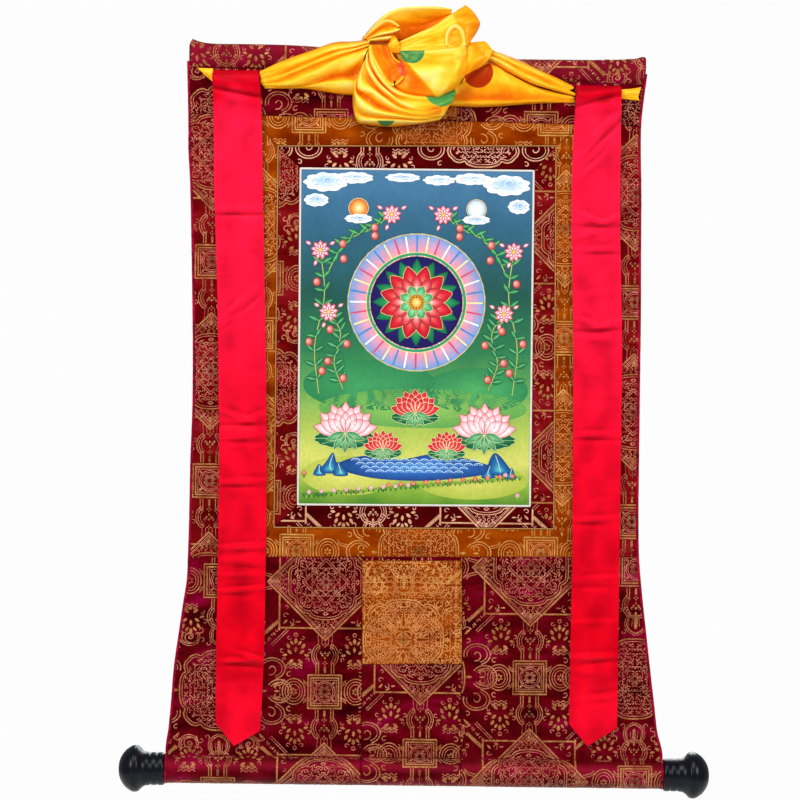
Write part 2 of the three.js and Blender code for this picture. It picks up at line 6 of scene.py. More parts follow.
import bmesh
import bpy
from mathutils import Matrix, Vector, noise
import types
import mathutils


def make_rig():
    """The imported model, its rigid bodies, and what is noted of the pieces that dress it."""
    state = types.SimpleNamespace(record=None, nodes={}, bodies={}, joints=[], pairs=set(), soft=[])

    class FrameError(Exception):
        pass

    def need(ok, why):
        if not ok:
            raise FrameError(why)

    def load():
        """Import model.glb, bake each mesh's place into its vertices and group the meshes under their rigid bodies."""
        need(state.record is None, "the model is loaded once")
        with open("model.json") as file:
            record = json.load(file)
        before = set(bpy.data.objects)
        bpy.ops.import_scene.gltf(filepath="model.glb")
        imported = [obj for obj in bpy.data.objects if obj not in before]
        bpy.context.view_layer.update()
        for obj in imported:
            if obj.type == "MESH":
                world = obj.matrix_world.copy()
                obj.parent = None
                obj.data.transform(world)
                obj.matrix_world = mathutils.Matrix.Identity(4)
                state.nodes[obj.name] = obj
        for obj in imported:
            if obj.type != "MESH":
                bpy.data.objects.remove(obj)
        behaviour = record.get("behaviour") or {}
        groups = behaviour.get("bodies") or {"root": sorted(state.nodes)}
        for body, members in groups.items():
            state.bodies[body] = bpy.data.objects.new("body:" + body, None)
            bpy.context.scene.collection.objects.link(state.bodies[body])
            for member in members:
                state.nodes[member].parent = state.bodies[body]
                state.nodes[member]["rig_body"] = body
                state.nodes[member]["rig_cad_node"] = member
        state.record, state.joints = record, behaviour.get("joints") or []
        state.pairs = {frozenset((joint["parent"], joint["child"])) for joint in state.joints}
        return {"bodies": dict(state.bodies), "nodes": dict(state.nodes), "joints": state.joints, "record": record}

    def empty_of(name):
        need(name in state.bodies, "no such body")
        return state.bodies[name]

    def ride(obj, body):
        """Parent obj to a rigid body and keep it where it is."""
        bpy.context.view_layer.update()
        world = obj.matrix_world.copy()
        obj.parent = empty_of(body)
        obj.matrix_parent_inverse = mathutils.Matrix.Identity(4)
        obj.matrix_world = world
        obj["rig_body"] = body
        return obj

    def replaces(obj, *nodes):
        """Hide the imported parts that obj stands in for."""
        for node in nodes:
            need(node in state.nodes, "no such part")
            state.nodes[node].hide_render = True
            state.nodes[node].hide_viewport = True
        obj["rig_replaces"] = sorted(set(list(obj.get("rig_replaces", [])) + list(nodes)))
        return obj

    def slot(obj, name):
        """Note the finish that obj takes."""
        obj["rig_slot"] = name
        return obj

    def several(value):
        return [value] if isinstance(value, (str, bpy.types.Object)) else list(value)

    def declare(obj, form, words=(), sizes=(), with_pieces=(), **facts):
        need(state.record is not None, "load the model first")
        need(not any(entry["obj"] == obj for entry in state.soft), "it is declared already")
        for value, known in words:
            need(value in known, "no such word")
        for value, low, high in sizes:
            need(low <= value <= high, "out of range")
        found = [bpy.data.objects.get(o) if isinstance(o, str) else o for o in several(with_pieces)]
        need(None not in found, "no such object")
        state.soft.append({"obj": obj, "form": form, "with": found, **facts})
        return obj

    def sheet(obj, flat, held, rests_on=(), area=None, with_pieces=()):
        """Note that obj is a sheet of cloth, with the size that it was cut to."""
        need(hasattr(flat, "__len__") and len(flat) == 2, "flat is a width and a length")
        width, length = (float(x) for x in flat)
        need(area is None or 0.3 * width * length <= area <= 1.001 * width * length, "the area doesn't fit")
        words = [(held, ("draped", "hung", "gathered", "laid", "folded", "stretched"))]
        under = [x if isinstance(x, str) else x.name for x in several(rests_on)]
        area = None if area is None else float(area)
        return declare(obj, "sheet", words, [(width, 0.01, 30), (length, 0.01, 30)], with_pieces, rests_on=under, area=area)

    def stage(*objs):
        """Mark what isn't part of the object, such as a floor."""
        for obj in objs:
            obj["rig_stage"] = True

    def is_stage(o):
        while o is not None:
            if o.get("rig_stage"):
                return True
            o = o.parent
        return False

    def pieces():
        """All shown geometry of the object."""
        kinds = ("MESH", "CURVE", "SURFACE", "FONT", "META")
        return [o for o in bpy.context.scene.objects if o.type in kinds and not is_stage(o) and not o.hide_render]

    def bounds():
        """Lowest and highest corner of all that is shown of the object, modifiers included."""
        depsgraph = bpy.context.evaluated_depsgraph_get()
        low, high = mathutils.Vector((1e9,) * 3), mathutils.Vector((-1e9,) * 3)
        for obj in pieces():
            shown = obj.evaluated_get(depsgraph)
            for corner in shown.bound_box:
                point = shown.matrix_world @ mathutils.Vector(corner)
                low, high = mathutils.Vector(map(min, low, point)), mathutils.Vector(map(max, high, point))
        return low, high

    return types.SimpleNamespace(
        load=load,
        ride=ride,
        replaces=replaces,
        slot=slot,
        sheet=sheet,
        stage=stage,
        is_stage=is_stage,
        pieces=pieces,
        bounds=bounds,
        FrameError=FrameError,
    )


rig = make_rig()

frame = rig.load()
cad_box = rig.bounds()

MM = 0.001
CLOTH = 2.0  # brocade with its turned seams, and the canvas
FINE_CLOTH = 1.2  # the patches
SATIN = 0.9  # the ribbons
SILK = 0.9  # the veil
GAP = 0.3
SEWN = -0.08  # two sewn pieces run this far into each other's seam
CLOTH_PITCH = 3.6  # width of a cell of the cloth's mesh
THREAD_RISE = 0.28  # how far the gold figure stands out of the satin
THREAD_EDGE = -0.03  # and how far its edges are sunk in it

ROLLER_Z = -951
ROLL_MIDDLE = 17.4  # radius of the middle of the cloth round the roller
ROLL_TOP = ROLLER_Z + ROLL_MIDDLE
ROLL_RADIUS = 18.5
ROD_RADIUS = 15.9
ROD_LEFT, ROD_RIGHT = -324.95, 333.05  # its two ends
KNOB_GAP = 0.35
ROLL_EASE = 2.0  # over this height the panel turns from hanging into its hem
FOLD_START = 22
FOLD_END = 45
BINDING = 3.2
BINDING_DEPTH = 3.8
SEAMS = {"left": -66, "right": 65.5}
HALF_WAY = -400  # the height at which a panel's width is taken

# Corners of the nested strips: top left, top right, bottom right, bottom left
PIPING_CORNERS = [(-157, -153), (154.5, -152.5), (154.9, -599), (-155.1, -600.6)]
INNER_CORNERS = [(-185.7, -125.1), (182.2, -120.6), (185.3, -627.4), (-184.9, -629.8)]
GOLD_CORNERS = [(-224.6, -84.7), (220.1, -92), (225, -664), (-222, -669.5)]
DOOR_CORNERS = [(-67.9, -672.4), (64.6, -671), (66, -807.6), (-66.3, -809.4)]
HEAVEN_CORNERS = [(-76, -46), (50.4, -46), (50.8, -87.6), (-75.6, -86)]

# The two long edges of the cloth: z, left, right
EDGE = [
    (-16, -304, 299.4), (-103, -301.4, 291), (-130, -301.2, 291.2), (-170, -298.6, 292.3),
    (-260, -295.3, 293), (-372, -292.3, 294), (-460, -291.5, 294), (-545, -293.6, 294),
    (-620, -294.2, 294.2), (-668, -295, 295.6), (-700, -296, 298.4), (-730, -300.2, 301.6),
    (-775, -306.2, 307), (-812, -311.2, 311.6), (-858, -314.7, 317.6), (-895, -317.8, 322.4),
    (-926, -321.5, 329.6), (-975, -321.5, 329.6),
]
# The sleeve at the top edge: x, bottom, top, half depth
SLEEVE = [
    (-304, -15, 7, 1.6), (-300.5, -21.5, 15, 4.6), (-292, -22.4, 12, 6.6), (-281, -22.6, 10, 7),
    (-234, -23, 9.3, 7.2), (-175, -23.8, 8.7, 7.3), (-132, -25, 6.6, 7.3), (0, -30, 0, 7.3),
    (130, -34.5, -6.5, 7.3), (200, -36, -6.2, 7.3), (264, -37.8, -4.9, 7.1),
    (287, -38.6, -3.4, 6.6), (297, -38, -1, 4.6), (301, -30, -5.5, 1.6),
]
# Soft folds: x, z, half length, half width, turn from level, and how far each stands forward
FOLDS = [
    (-150, -58, 85, 9, -9, 3.2), (-150, -70, 80, 7, -9, -2.0), (190, -66, 90, 9, -3, 2.2),
    (-298, -150, 60, 9, 88, -2.4), (-297, -330, 110, 9, 90, 1.8), (296, -260, 100, 9, 90, 2.0),
    (297, -500, 120, 9, 90, -1.8), (-300, -560, 90, 9, 90, -2.0), (-312, -775, 95, 22, 74, 5.5),
    (-262, -800, 110, 24, 80, -3.0), (-130, -830, 70, 34, 86, 2.6), (-20, -868, 60, 30, 92, -2.2),
    (120, -800, 95, 36, 95, 3.0), (215, -835, 90, 26, 98, -2.8), (314, -775, 100, 22, 106, 5.0),
    (270, -740, 60, 20, 100, -2.4),
]
# Ribbons: z, left, right, stand-off from the cloth behind, and twist
RIBBON_LEFT = [
    (-25.8, -273, -210.8, 0.6, 0), (-29, -273, -210.8, 3.6, 0), (-33, -273, -210.6, 7.4, 0),
    (-52, -272.4, -209, 7.8, 0.6), (-62, -272, -208.6, 6.6, -0.8), (-78, -271.7, -208, 5.2, 0),
    (-120, -270.8, -206.4, 3.4, 0.4), (-171, -269.9, -205, 2.6, 0), (-206, -268.4, -204, 3.8, 0.8),
    (-216, -268, -203.8, 2.4, -0.8), (-262, -266, -202, 2.8, 0), (-318, -263.6, -200.4, 4.6, 1.6),
    (-352, -262.6, -199.6, 2.6, -1.2), (-420, -260.6, -197.6, 3.2, 0),
    (-468, -259.6, -196.4, 4.8, -1), (-486, -259.2, -196, 2.6, 1.2),
    (-504, -258.8, -195.8, 4.2, -0.6), (-566, -258.2, -195, 2.6, 0.8), (-650, -258.4, -194.8, 3.6, -1),
    (-700, -258.6, -195, 2.6, 0.6), (-790, -259.6, -195.5, 3.4, 0), (-850, -259.4, -197.4, 2.8, 0.4),
]
RIBBON_RIGHT = [
    (-40.6, 207.7, 267.4, 0.6, 0), (-44, 207.7, 267.4, 3.6, 0), (-48, 207.6, 267.4, 7.6, 0),
    (-66, 206.6, 267.2, 8.2, 0.6), (-76, 206, 267.2, 6.8, -1), (-100, 205, 267.4, 5, 0),
    (-128, 204, 267.6, 4.6, 1.4), (-168, 203.2, 267.8, 3, -1), (-206, 203.1, 267.9, 3, 0.4),
    (-220, 203.3, 268, 5.2, 0.8), (-234, 203.6, 268.2, 2.8, -0.8), (-286, 205.2, 269.8, 3.2, 0),
    (-352, 207, 271.8, 5, -1.2), (-366, 207.6, 272.2, 2.8, 1), (-384, 207.9, 272.6, 3.8, 0),
    (-470, 208.6, 272.8, 3.4, -0.8), (-560, 209.2, 272.6, 4.4, 0.6), (-681, 209.7, 272.4, 3, -0.8),
    (-740, 209.2, 272.5, 4.4, 0.8), (-792, 208.8, 272.6, 3, -0.6), (-846, 208.6, 272.4, 3.6, 0),
]
RIBBON_END_LEFT = [(-258.9, -890), (-234.3, -919.5), (-199.6, -899)]
RIBBON_END_RIGHT = [(208.4, -885), (232.9, -914.2), (272, -889.6)]

# Creases pressed into the satin, in the same columns as the folds
CREASES_LEFT = [
    (-250, -46, 30, 5, -12, 1.2), (-236, -56, 40, 4, -10, -1.6), (-228, -66, 26, 5, -8, 1.0),
    (-236, -96, 40, 14, 0, 0.7), (-232, -216, 42, 3.5, 1, -1.4), (-234, -208, 40, 6, 1, 1.0),
    (-230, -330, 34, 4, 42, 1.5), (-224, -338, 34, 4, 42, -1.3), (-240, -352, 26, 5, 30, 1.0),
    (-236, -482, 30, 4, -20, 1.6), (-214, -484, 22, 4, 24, 1.3), (-228, -494, 36, 4, 2, -1.7),
    (-226, -508, 30, 5, 6, 1.2), (-234, -516, 34, 4, 0, -1.0), (-226, -568, 34, 3.5, 3, 1.1),
    (-232, -576, 30, 3, 0, -1.0), (-226, -654, 30, 3, 4, 1.2), (-220, -662, 28, 3, 2, -1.0),
    (-230, -672, 30, 3, 0, 1.0), (-222, -682, 30, 3, -3, -0.9), (-228, -692, 26, 3, 0, 0.9),
    (-224, -711, 34, 3, 5, 1.2), (-236, -719, 20, 3, 0, -0.8), (-214, -800, 20, 3, -16, 1.4),
    (-236, -806, 26, 3.5, 6, 1.3), (-224, -812, 34, 4, -4, -1.5), (-228, -838, 34, 8, 0, 0.8),
]
CREASES_RIGHT = [
    (240, -50, 30, 5, 12, 1.2), (232, -62, 34, 4, 16, -1.5), (244, -70, 26, 5, 10, 1.0),
    (246, -94, 34, 4.5, 44, 1.9), (252, -102, 34, 4, 44, -1.6), (226, -122, 24, 4, 46, 1.3),
    (232, -140, 26, 4, 44, -1.2), (244, -132, 30, 4.5, 46, 1.2), (222, -152, 16, 4, 40, 1.0),
    (232, -216, 20, 4, -22, 1.7), (252, -218, 20, 4, 24, 1.5), (240, -226, 34, 4.5, 0, -1.8),
    (226, -236, 24, 4, 18, 1.1), (236, -256, 30, 4, 4, 0.9), (244, -262, 26, 3, 0, -0.9),
    (226, -352, 26, 4, -18, 1.5), (250, -356, 26, 4, 18, 1.4), (240, -364, 36, 4, 2, -1.7),
    (238, -374, 30, 5, -4, 1.0), (240, -314, 30, 6, 8, 0.8), (234, -500, 30, 3.5, 4, 1.1),
    (244, -508, 30, 3, 0, -1.0), (240, -612, 30, 3, 3, 1.1), (232, -620, 22, 3, 0, -0.9),
    (246, -690, 26, 3, 4, 1.1), (240, -702, 30, 4, 0, -0.9), (236, -794, 30, 4, 4, 1.4),
    (248, -802, 24, 3.5, 6, -1.3), (232, -814, 24, 5, -6, 0.9), (240, -748, 34, 4, 2, 0.9),
    (250, -848, 26, 4, 8, 1.0),
]


# The veil's folds: for each part a painted shade, lighter or darker by how the light falls on it, and lines along its
# folds from its top edge to its lower one. A line's points are x, z and how far the silk stands in front of the
# cloth's plane.
VEIL = {
    "left_wing": (-0.06, [
        [(-210.5, -27.5, 5.5), (-192, -19, 9.5), (-168, -9, 10), (-141.5, 0.5, 10.5),
         (-112.5, 11, 11), (-87.5, 12.5, 11.5), (-61, 16.5, 12)],
        [(-210.5, -32.5, 6.5), (-190.5, -26.5, 11.5), (-169, -18, 15), (-142.5, -9, 17.5),
         (-115, 1, 19.5), (-89.5, 5.5, 21), (-66, 11, 22)],
        [(-209.5, -37, 5.5), (-185.5, -32.5, 9.5), (-162.5, -23.5, 12), (-135, -11, 14.5),
         (-110, -1.5, 16.5), (-87, 3.5, 18), (-66, 9.5, 19)],
        [(-209.5, -42.5, 6.5), (-185.5, -35.5, 12), (-162.5, -26.5, 16), (-135, -15.5, 19),
         (-109.5, -5.5, 21.5), (-87, 0, 24), (-67, 6, 26)],
        [(-208.5, -44, 5.5), (-184, -39.5, 9), (-160, -31, 12.5), (-135, -20, 15.5),
         (-109.5, -10, 18), (-87, -2.5, 20), (-67, 4, 22)],
        [(-207, -45.5, 6), (-181.5, -44.5, 12.5), (-155, -37, 17.5), (-132, -28.5, 21.5),
         (-109.5, -16, 24.5), (-87, -8.5, 27), (-68, 0.5, 29)],
        [(-205.5, -47, 5), (-179, -47.5, 9.5), (-152.5, -43.5, 14), (-127, -34, 17),
         (-107, -26.5, 19), (-90.5, -21.5, 22), (-72, -8.5, 27)],
        [(-204.5, -48.5, 4.5), (-178, -48.5, 7), (-150, -46, 9.5), (-127, -39.5, 11.5),
         (-107, -34, 11), (-90.5, -31.5, 10), (-78, -28, 13)],
        [(-204.5, -49, 4), (-176.5, -49, 6), (-147.5, -47.5, 9), (-124.5, -44.5, 13),
         (-105.5, -44, 15), (-89, -44.5, 15), (-80.5, -44.5, 14)],
        [(-204.5, -49.5, 3), (-176.5, -49, 3.5), (-147.5, -49.5, 3.5), (-125, -53, 4),
         (-105.5, -56, 4.5), (-89.5, -57, 4.5), (-80.5, -57.5, 5)],
    ]),
    "right_tube": (-0.1, [
        [(90.5, 5.5, 14), (116, -3, 10.5), (136.5, -11.5, 10), (158, -21.5, 9.5),
         (181, -31.5, 9), (204, -42.5, 6)],
        [(91, 0, 24), (114.5, -8.5, 22), (134.5, -17.5, 20), (156.5, -26.5, 17),
         (179.5, -36.5, 14), (203.5, -45.5, 8)],
        [(90.5, -3, 23), (113, -13, 21.5), (133.5, -23, 19), (154, -32.5, 16),
         (174.5, -40.5, 13), (199, -48.5, 7.5)],
        [(89.5, -6.5, 27), (111.5, -16, 26), (132, -28, 23.5), (153.5, -37.5, 20.5),
         (176.5, -45, 16), (206.5, -52, 9)],
        [(88.5, -10, 18), (106, -19.5, 16), (126, -30, 14.5), (148, -40, 12.5),
         (173.5, -47, 10.5), (206.5, -55, 7)],
    ]),
    "right_sheet": (-0.16, [
        [(61.5, -12.5, 14), (91, -11.5, 12), (113.5, -23.5, 11), (139, -37.5, 10),
         (167, -47.5, 8), (204, -55.5, 5)],
        [(59, -26.5, 24), (94.5, -20, 21), (117, -30.5, 18.5), (142.5, -42.5, 15.5),
         (167, -52, 12), (205.5, -57.5, 7)],
        [(45, -46, 23), (90.5, -41, 22.5), (116, -45, 18.5), (141.5, -51, 14.5),
         (167, -57, 10.5), (205.5, -59, 6)],
        [(36, -57, 16), (85, -59.5, 15.5), (116.5, -59.5, 13), (142, -60, 11),
         (167.5, -60.5, 8.5), (206, -60.5, 5)],
        [(30, -65, 14), (85, -67, 15), (116.5, -65, 13), (142, -63.5, 11),
         (167.5, -62.5, 8), (206.5, -62, 5)],
        [(36, -70, 8), (79, -71, 6), (112, -69, 5), (142.5, -66, 4.5), (174, -64, 4), (207, -63, 3)],
    ]),
    "crown": (-0.22, [
        [(-76.5, 16.5, 8), (-63.5, 32.5, 10), (-45, 50.5, 12), (-26.5, 58.5, 12),
         (-2, 60.5, 12), (22, 61, 11), (41.5, 58, 10)],
        [(-75.5, 14.5, 16), (-62.5, 29, 22), (-44.5, 46.5, 26), (-25.5, 54.5, 27),
         (-2, 57, 26), (22, 57, 24), (41.5, 55.5, 18)],
        [(-74, 14.5, 15), (-60.5, 26.5, 21), (-41.5, 42.5, 24), (-24, 49.5, 24),
         (-2, 52, 23), (21.5, 52.5, 21), (41.5, 53.5, 18)],
        [(-67.5, 14, 14), (-51.5, 23, 16), (-34, 32.5, 16), (-18, 38, 15),
         (0.5, 42.5, 15), (19.5, 45, 16), (41, 51, 18)],
        [(-58, 13.5, 13), (-44.5, 19.5, 13), (-28.5, 25, 12), (-15, 29.5, 11),
         (1, 34, 11), (18.5, 39.5, 13), (40, 50, 17)],
        [(-47.5, 13.5, 12), (-38, 15, 11), (-23, 16, 10), (-11, 21.5, 10),
         (3.5, 28.5, 11), (18.5, 35, 14), (41.5, 49.5, 17)],
    ]),
    "front_upper": (0.1, [
        [(-30.5, 10, 22), (-15, 17, 24), (1, 24.5, 25), (17, 32, 26),
         (30, 41, 25), (41.5, 50, 21), (58.5, 61.5, 16)],
        [(-30, 8, 31), (-14.5, 14.5, 34), (1.5, 22, 36), (18, 29.5, 37),
         (31.5, 38.5, 36), (43.5, 47.5, 31), (60, 59.5, 25)],
        [(-29.5, 7, 31), (-12.5, 11.5, 35), (5.5, 17.5, 38), (22, 24, 39),
         (36.5, 32.5, 38), (51.5, 44, 35), (69, 52, 27)],
        [(-27.5, 4.5, 32), (-11, 8, 36), (7.5, 13, 38), (25.5, 18, 40),
         (41, 24.5, 39), (57.5, 36, 38), (77, 40.5, 27)],
        [(-26.5, 2, 33), (-9.5, 4, 37), (9, 7.5, 38), (27.5, 10.5, 41),
         (43.5, 15.5, 40), (61, 25, 38), (78.5, 34.5, 25)],
        [(-25.5, -0.5, 34), (-8.5, 0, 38.5), (10.5, 2, 40), (29, 4.5, 42.5),
         (45, 7, 43), (61, 14, 39), (74, 24, 27)],
        [(-26, -3, 34), (-8.5, -3.5, 39), (10.5, -2.5, 42), (29, -1, 44),
         (45, 1, 44), (60, 3.5, 39), (67, 12.5, 28)],
    ]),
    "loop": (0.15, [
        [(32, 4, 40.5), (32, 17, 40), (35, 27, 38), (44, 34, 37),
         (52.5, 31.5, 37), (59, 23.5, 38), (62, 4, 38)],
        [(35, 3, 46), (35, 15.5, 46), (37.5, 23.5, 45), (44.5, 29.5, 44),
         (50.5, 27.5, 44), (56, 20.5, 44), (59, 3.5, 43)],
        [(38.5, 3.5, 40), (38.5, 15.5, 39), (41, 21.5, 38), (45, 26, 37),
         (49, 24.5, 37), (52.5, 18, 38), (55.5, 3, 39)],
    ]),
    "flap": (0.22, [
        [(-26, -2.5, 36), (-12.5, -3, 41), (5, -3, 44), (21, -2, 46),
         (35.5, -0.5, 46.5), (49, 1.5, 44.5), (60, 4, 40)],
        [(-25.5, -4.5, 38), (-12.5, -5.5, 43.5), (5, -5, 46.5), (21, -4, 48.5),
         (35.5, -2.5, 49), (49, -0.5, 47), (60.5, 1.5, 41)],
        [(-24, -14.5, 38), (-12, -20.5, 46), (4, -17.5, 47.5), (21, -16, 48),
         (35.5, -14.5, 48.5), (49, -13, 46), (62, -10.5, 38)],
        [(-19.5, -23, 38), (-9.5, -29, 45), (5.5, -36.5, 51), (21.5, -32, 50),
         (36, -28.5, 49), (49, -25, 46), (62, -24, 37)],
        [(-22, -36, 36), (-12, -42.5, 41), (4, -46, 45), (19.5, -50.5, 50),
         (34.5, -44.5, 49), (48, -39, 45), (59, -34, 35)],
        [(-30.5, -46.5, 34), (-15.5, -54, 38), (3, -58, 41), (21, -60, 45),
         (32.5, -56, 45), (43, -49.5, 42), (53.5, -41, 33)],
        [(-33.5, -49, 31), (-17, -58, 34), (3, -61, 36), (22, -63, 39),
         (32, -59, 39), (42.5, -53.5, 37), (52, -45, 29)],
    ]),
    "pocket": (-0.2, [
        [(-68, 2.5, 24), (-67, -4.5, 26), (-59, -21, 29), (-50, -35.5, 31),
         (-41, -46.5, 32), (-33, -49, 32)],
        [(-65, 5.5, 31), (-62.5, -8.5, 36), (-54.5, -23.5, 39), (-47, -37, 40),
         (-40, -46.5, 40), (-33, -48, 40)],
        [(-61, 6.5, 26), (-57, -7.5, 29), (-49.5, -22.5, 31), (-43.5, -33.5, 32),
         (-38, -42, 33), (-33.5, -44, 34)],
        [(-52.5, 7, 23), (-46.5, -8, 25), (-39.5, -21.5, 27), (-34.5, -30.5, 28),
         (-33, -37, 29), (-33, -41, 31)],
        [(-43, 6, 24), (-37, -9.5, 26), (-28, -20.5, 29), (-22.5, -26, 31),
         (-24.5, -35, 32), (-30.5, -42.5, 34)],
        [(-40.5, 4, 30), (-33.5, -11.5, 33), (-21.5, -19.5, 37), (-18.5, -24.5, 39),
         (-21, -36.5, 40), (-31.5, -47, 40)],
        [(-39, 4.5, 24), (-31.5, -11.5, 27), (-20, -18, 31), (-17, -24, 33),
         (-19, -37, 34), (-30.5, -48.5, 33)],
    ]),
    "bag": (0.03, [
        [(-63, 6.5, 24), (-57.5, -12, 27), (-49.5, -29, 30), (-38.5, -45, 32),
         (-19.5, -56.5, 34), (7, -60, 36), (46, -50, 29)],
        [(-66, 3.5, 31), (-62.5, -15.5, 37), (-54, -33, 40), (-41.5, -48.5, 42),
         (-21.5, -60.5, 42.5), (8, -64, 41), (48, -54.5, 34)],
        [(-67.5, -0.5, 26), (-65.5, -17.5, 29), (-56.5, -36, 32), (-43.5, -51.5, 35),
         (-24, -65, 39), (8, -69.5, 41.5), (46.5, -60, 33)],
        [(-69, -5.5, 30), (-68.5, -23.5, 37), (-57, -43, 42), (-41, -58, 45),
         (-21.5, -71.5, 45), (9.5, -77.5, 43), (44, -66.5, 33.5)],
        [(-71, -10, 24), (-70.5, -28.5, 27), (-59, -48.5, 32), (-42.5, -63.5, 36),
         (-23.5, -76.5, 41), (8, -81, 41.5), (40, -72.5, 32)],
        [(-73, -15.5, 23), (-79, -47.5, 33), (-61, -57, 41), (-43.5, -69.5, 45),
         (-21.5, -81, 45), (8, -85, 41), (37, -78, 31)],
        [(-76, -20.5, 17), (-82.5, -49, 23), (-69.5, -63.5, 27), (-51, -76, 32),
         (-24.5, -84.5, 39.5), (7.5, -87.5, 38.5), (35, -81.5, 29)],
        [(-78, -26, 16), (-84.5, -52.5, 27), (-75, -71.5, 36), (-57.5, -82.5, 40),
         (-29, -88, 41), (5, -90.5, 38), (33, -85, 27)],
        [(-80.5, -30.5, 11), (-85.5, -58.5, 19), (-80, -80.5, 27), (-62.5, -88, 30),
         (-32, -90.5, 33.5), (2, -92.5, 33), (30.5, -87, 23)],
        [(-83, -36, 9), (-86, -67.5, 16), (-80.5, -89.5, 24), (-61.5, -94, 31),
         (-32.5, -94.5, 35), (-0.5, -95, 33), (28.5, -89, 22)],
        [(-86, -40, 6), (-87, -70, 8), (-81, -92.5, 10), (-66, -97, 12),
         (-36.5, -99.5, 16), (-0.5, -95.5, 16), (27.5, -89.5, 10)],
    ]),
    "lip": (0.05, [
        [(-75, 15.5, 14), (-65.5, 26, 20), (-55, 35.5, 23), (-45, 40.5, 23),
         (-35, 39, 23), (-26.5, 33, 22)],
        [(-74, 15, 19), (-64, 24, 28), (-53.5, 32.5, 32), (-44.5, 37.5, 32),
         (-35.5, 36, 31), (-27.5, 30.5, 29)],
        [(-72, 15.5, 17), (-61, 23.5, 22), (-51, 30.5, 24), (-43, 33.5, 24), (-36, 33, 25), (-30, 30, 25)],
        [(-70.5, 15.5, 18), (-59, 20.5, 24), (-49.5, 24.5, 27), (-41, 26.5, 27),
         (-34.5, 27.5, 28), (-29.5, 28, 28)],
        [(-70, 15, 19), (-58, 18, 29), (-47.5, 20.5, 33), (-39.5, 22, 34), (-32.5, 24, 33), (-26, 27, 30)],
        [(-69, 15, 13), (-57, 17.5, 18), (-46, 20, 20), (-39, 21, 21), (-32, 23.5, 21), (-25, 27, 20)],
    ]),
    "band": (-0.05, [
        [(-69.5, 14.5, 16), (-58, 17.5, 20), (-44.5, 20, 21), (-34.5, 21.5, 20)],
        [(-68.5, 12.5, 22), (-58, 13.5, 29), (-45, 15, 31), (-36.5, 16, 29)],
        [(-67, 11, 16), (-56.5, 11.5, 18), (-44.5, 12.5, 18), (-37.5, 13, 18)],
    ]),
    "knot": (-0.05, [
        [(-43, 6, 26), (-39, 11.5, 29), (-37, 16, 30), (-32.5, 18.5, 28)],
        [(-41, 3.5, 33), (-37, 7, 37), (-34, 10.5, 38), (-29, 11.5, 35)],
        [(-39, 1, 34), (-35, 3, 38), (-31, 5.5, 39), (-27, 7.5, 36)],
        [(-42.5, 2, 30), (-37, -1, 34), (-31, 0, 36), (-25.5, 1.5, 35)],
        [(-40.5, -1.5, 28), (-35, -4, 31), (-29.5, -5, 33), (-25, -5, 34)],
    ]),
    "right_back": (-0.12, [
        [(58.5, 10.5, 20), (69.5, 12.5, 19), (79, 14, 18), (87.5, 13.5, 17), (99, 2.5, 16)],
        [(58.5, 6.5, 33), (69, 9, 31), (78.5, 10.5, 29), (86.5, 10.5, 28), (97, 0.5, 26)],
        [(59.5, -9, 36), (68.5, -6, 38), (77.5, -3, 35), (85.5, -1, 33), (95.5, -2.5, 29)],
        [(60, -24, 36), (67, -21, 37), (74.5, -16, 36), (83, -10, 34), (91, -11, 31)],
        [(57, -41.5, 33), (62.5, -36.5, 33), (69, -29.5, 32), (77, -23, 31), (88.5, -13.5, 29)],
        [(56.5, -43, 26), (62, -37.5, 26), (68.5, -30.5, 25), (76.5, -23.5, 24), (88.5, -14, 22)],
    ]),
    "left_tip": (0.05, [
        [(-293.5, -23.5, 3), (-283.5, -24, 3.5), (-272.5, -24, 3.5)],
        [(-291, -25.5, 4), (-282, -28.5, 5), (-272.5, -31, 5)],
        [(-289, -27.5, 3.5), (-280.5, -33, 4), (-272.5, -37.5, 4)],
        [(-287, -29.5, 3), (-279, -36.5, 3), (-272.5, -42, 3)],
    ]),
    "right_tip": (0.05, [
        [(264, -45.5, 4.5), (279, -44.5, 4), (293.5, -42, 4)],
        [(265, -50, 5.5), (278.5, -49, 5.5), (291.5, -48.5, 5)],
        [(265.5, -54, 4), (279, -54, 4.5), (290, -55, 4)],
        [(266.5, -57.5, 3), (279, -58.5, 3), (291.5, -59.5, 3)],
    ]),
    # Painted darker, as shade: it lies behind the other parts
    "under": (-0.36, [
        [(-73, 12, 7), (-40, 12, 10), (0, 14, 12), (40, 16, 12), (68, 14, 8)],
        [(-72, 2, 13), (-40, 2, 21), (0, 2, 29), (40, 2, 29), (70, 2, 20)],
        [(-70, -20, 14), (-40, -20, 20), (0, -20, 32), (34, -20, 34), (66, -20, 24)],
        [(-62, -44, 12), (-36, -46, 20), (0, -54, 28), (34, -56, 27), (56, -50, 19)],
        [(-60, -58, 7), (-36, -66, 8), (0, -68, 8), (28, -66, 8), (50, -58, 7)],
    ]),
    "back": (-0.1, [
        [(-74, 14, -9), (-44, 34, -6), (-10, 44, -4), (24, 46, -4), (52, 34, -6), (66, 12, -9)],
        [(-72, 6, -12), (-42, 14, -15), (-10, 20, -16), (24, 20, -16), (48, 14, -14), (64, 4, -12)],
        [(-70, -4, -10), (-42, -6, -13), (-10, -8, -13), (24, -8, -13), (48, -8, -12), (62, -6, -10)],
    ]),
}
# Faces of the veil in painted light and shade: the part, a line, and what changes on its left-hand side
FACES = [
    ("flap", (22, -62), (-18, -16), -0.66), ("flap", (60, -6), (30, -62), -0.32),
    ("crown", (41, 47), (-62, 22), -0.3), ("crown", (-64, 26), (42, 52), 0.2),
    ("front_upper", (40, 54), (60, 2), -0.3),
]
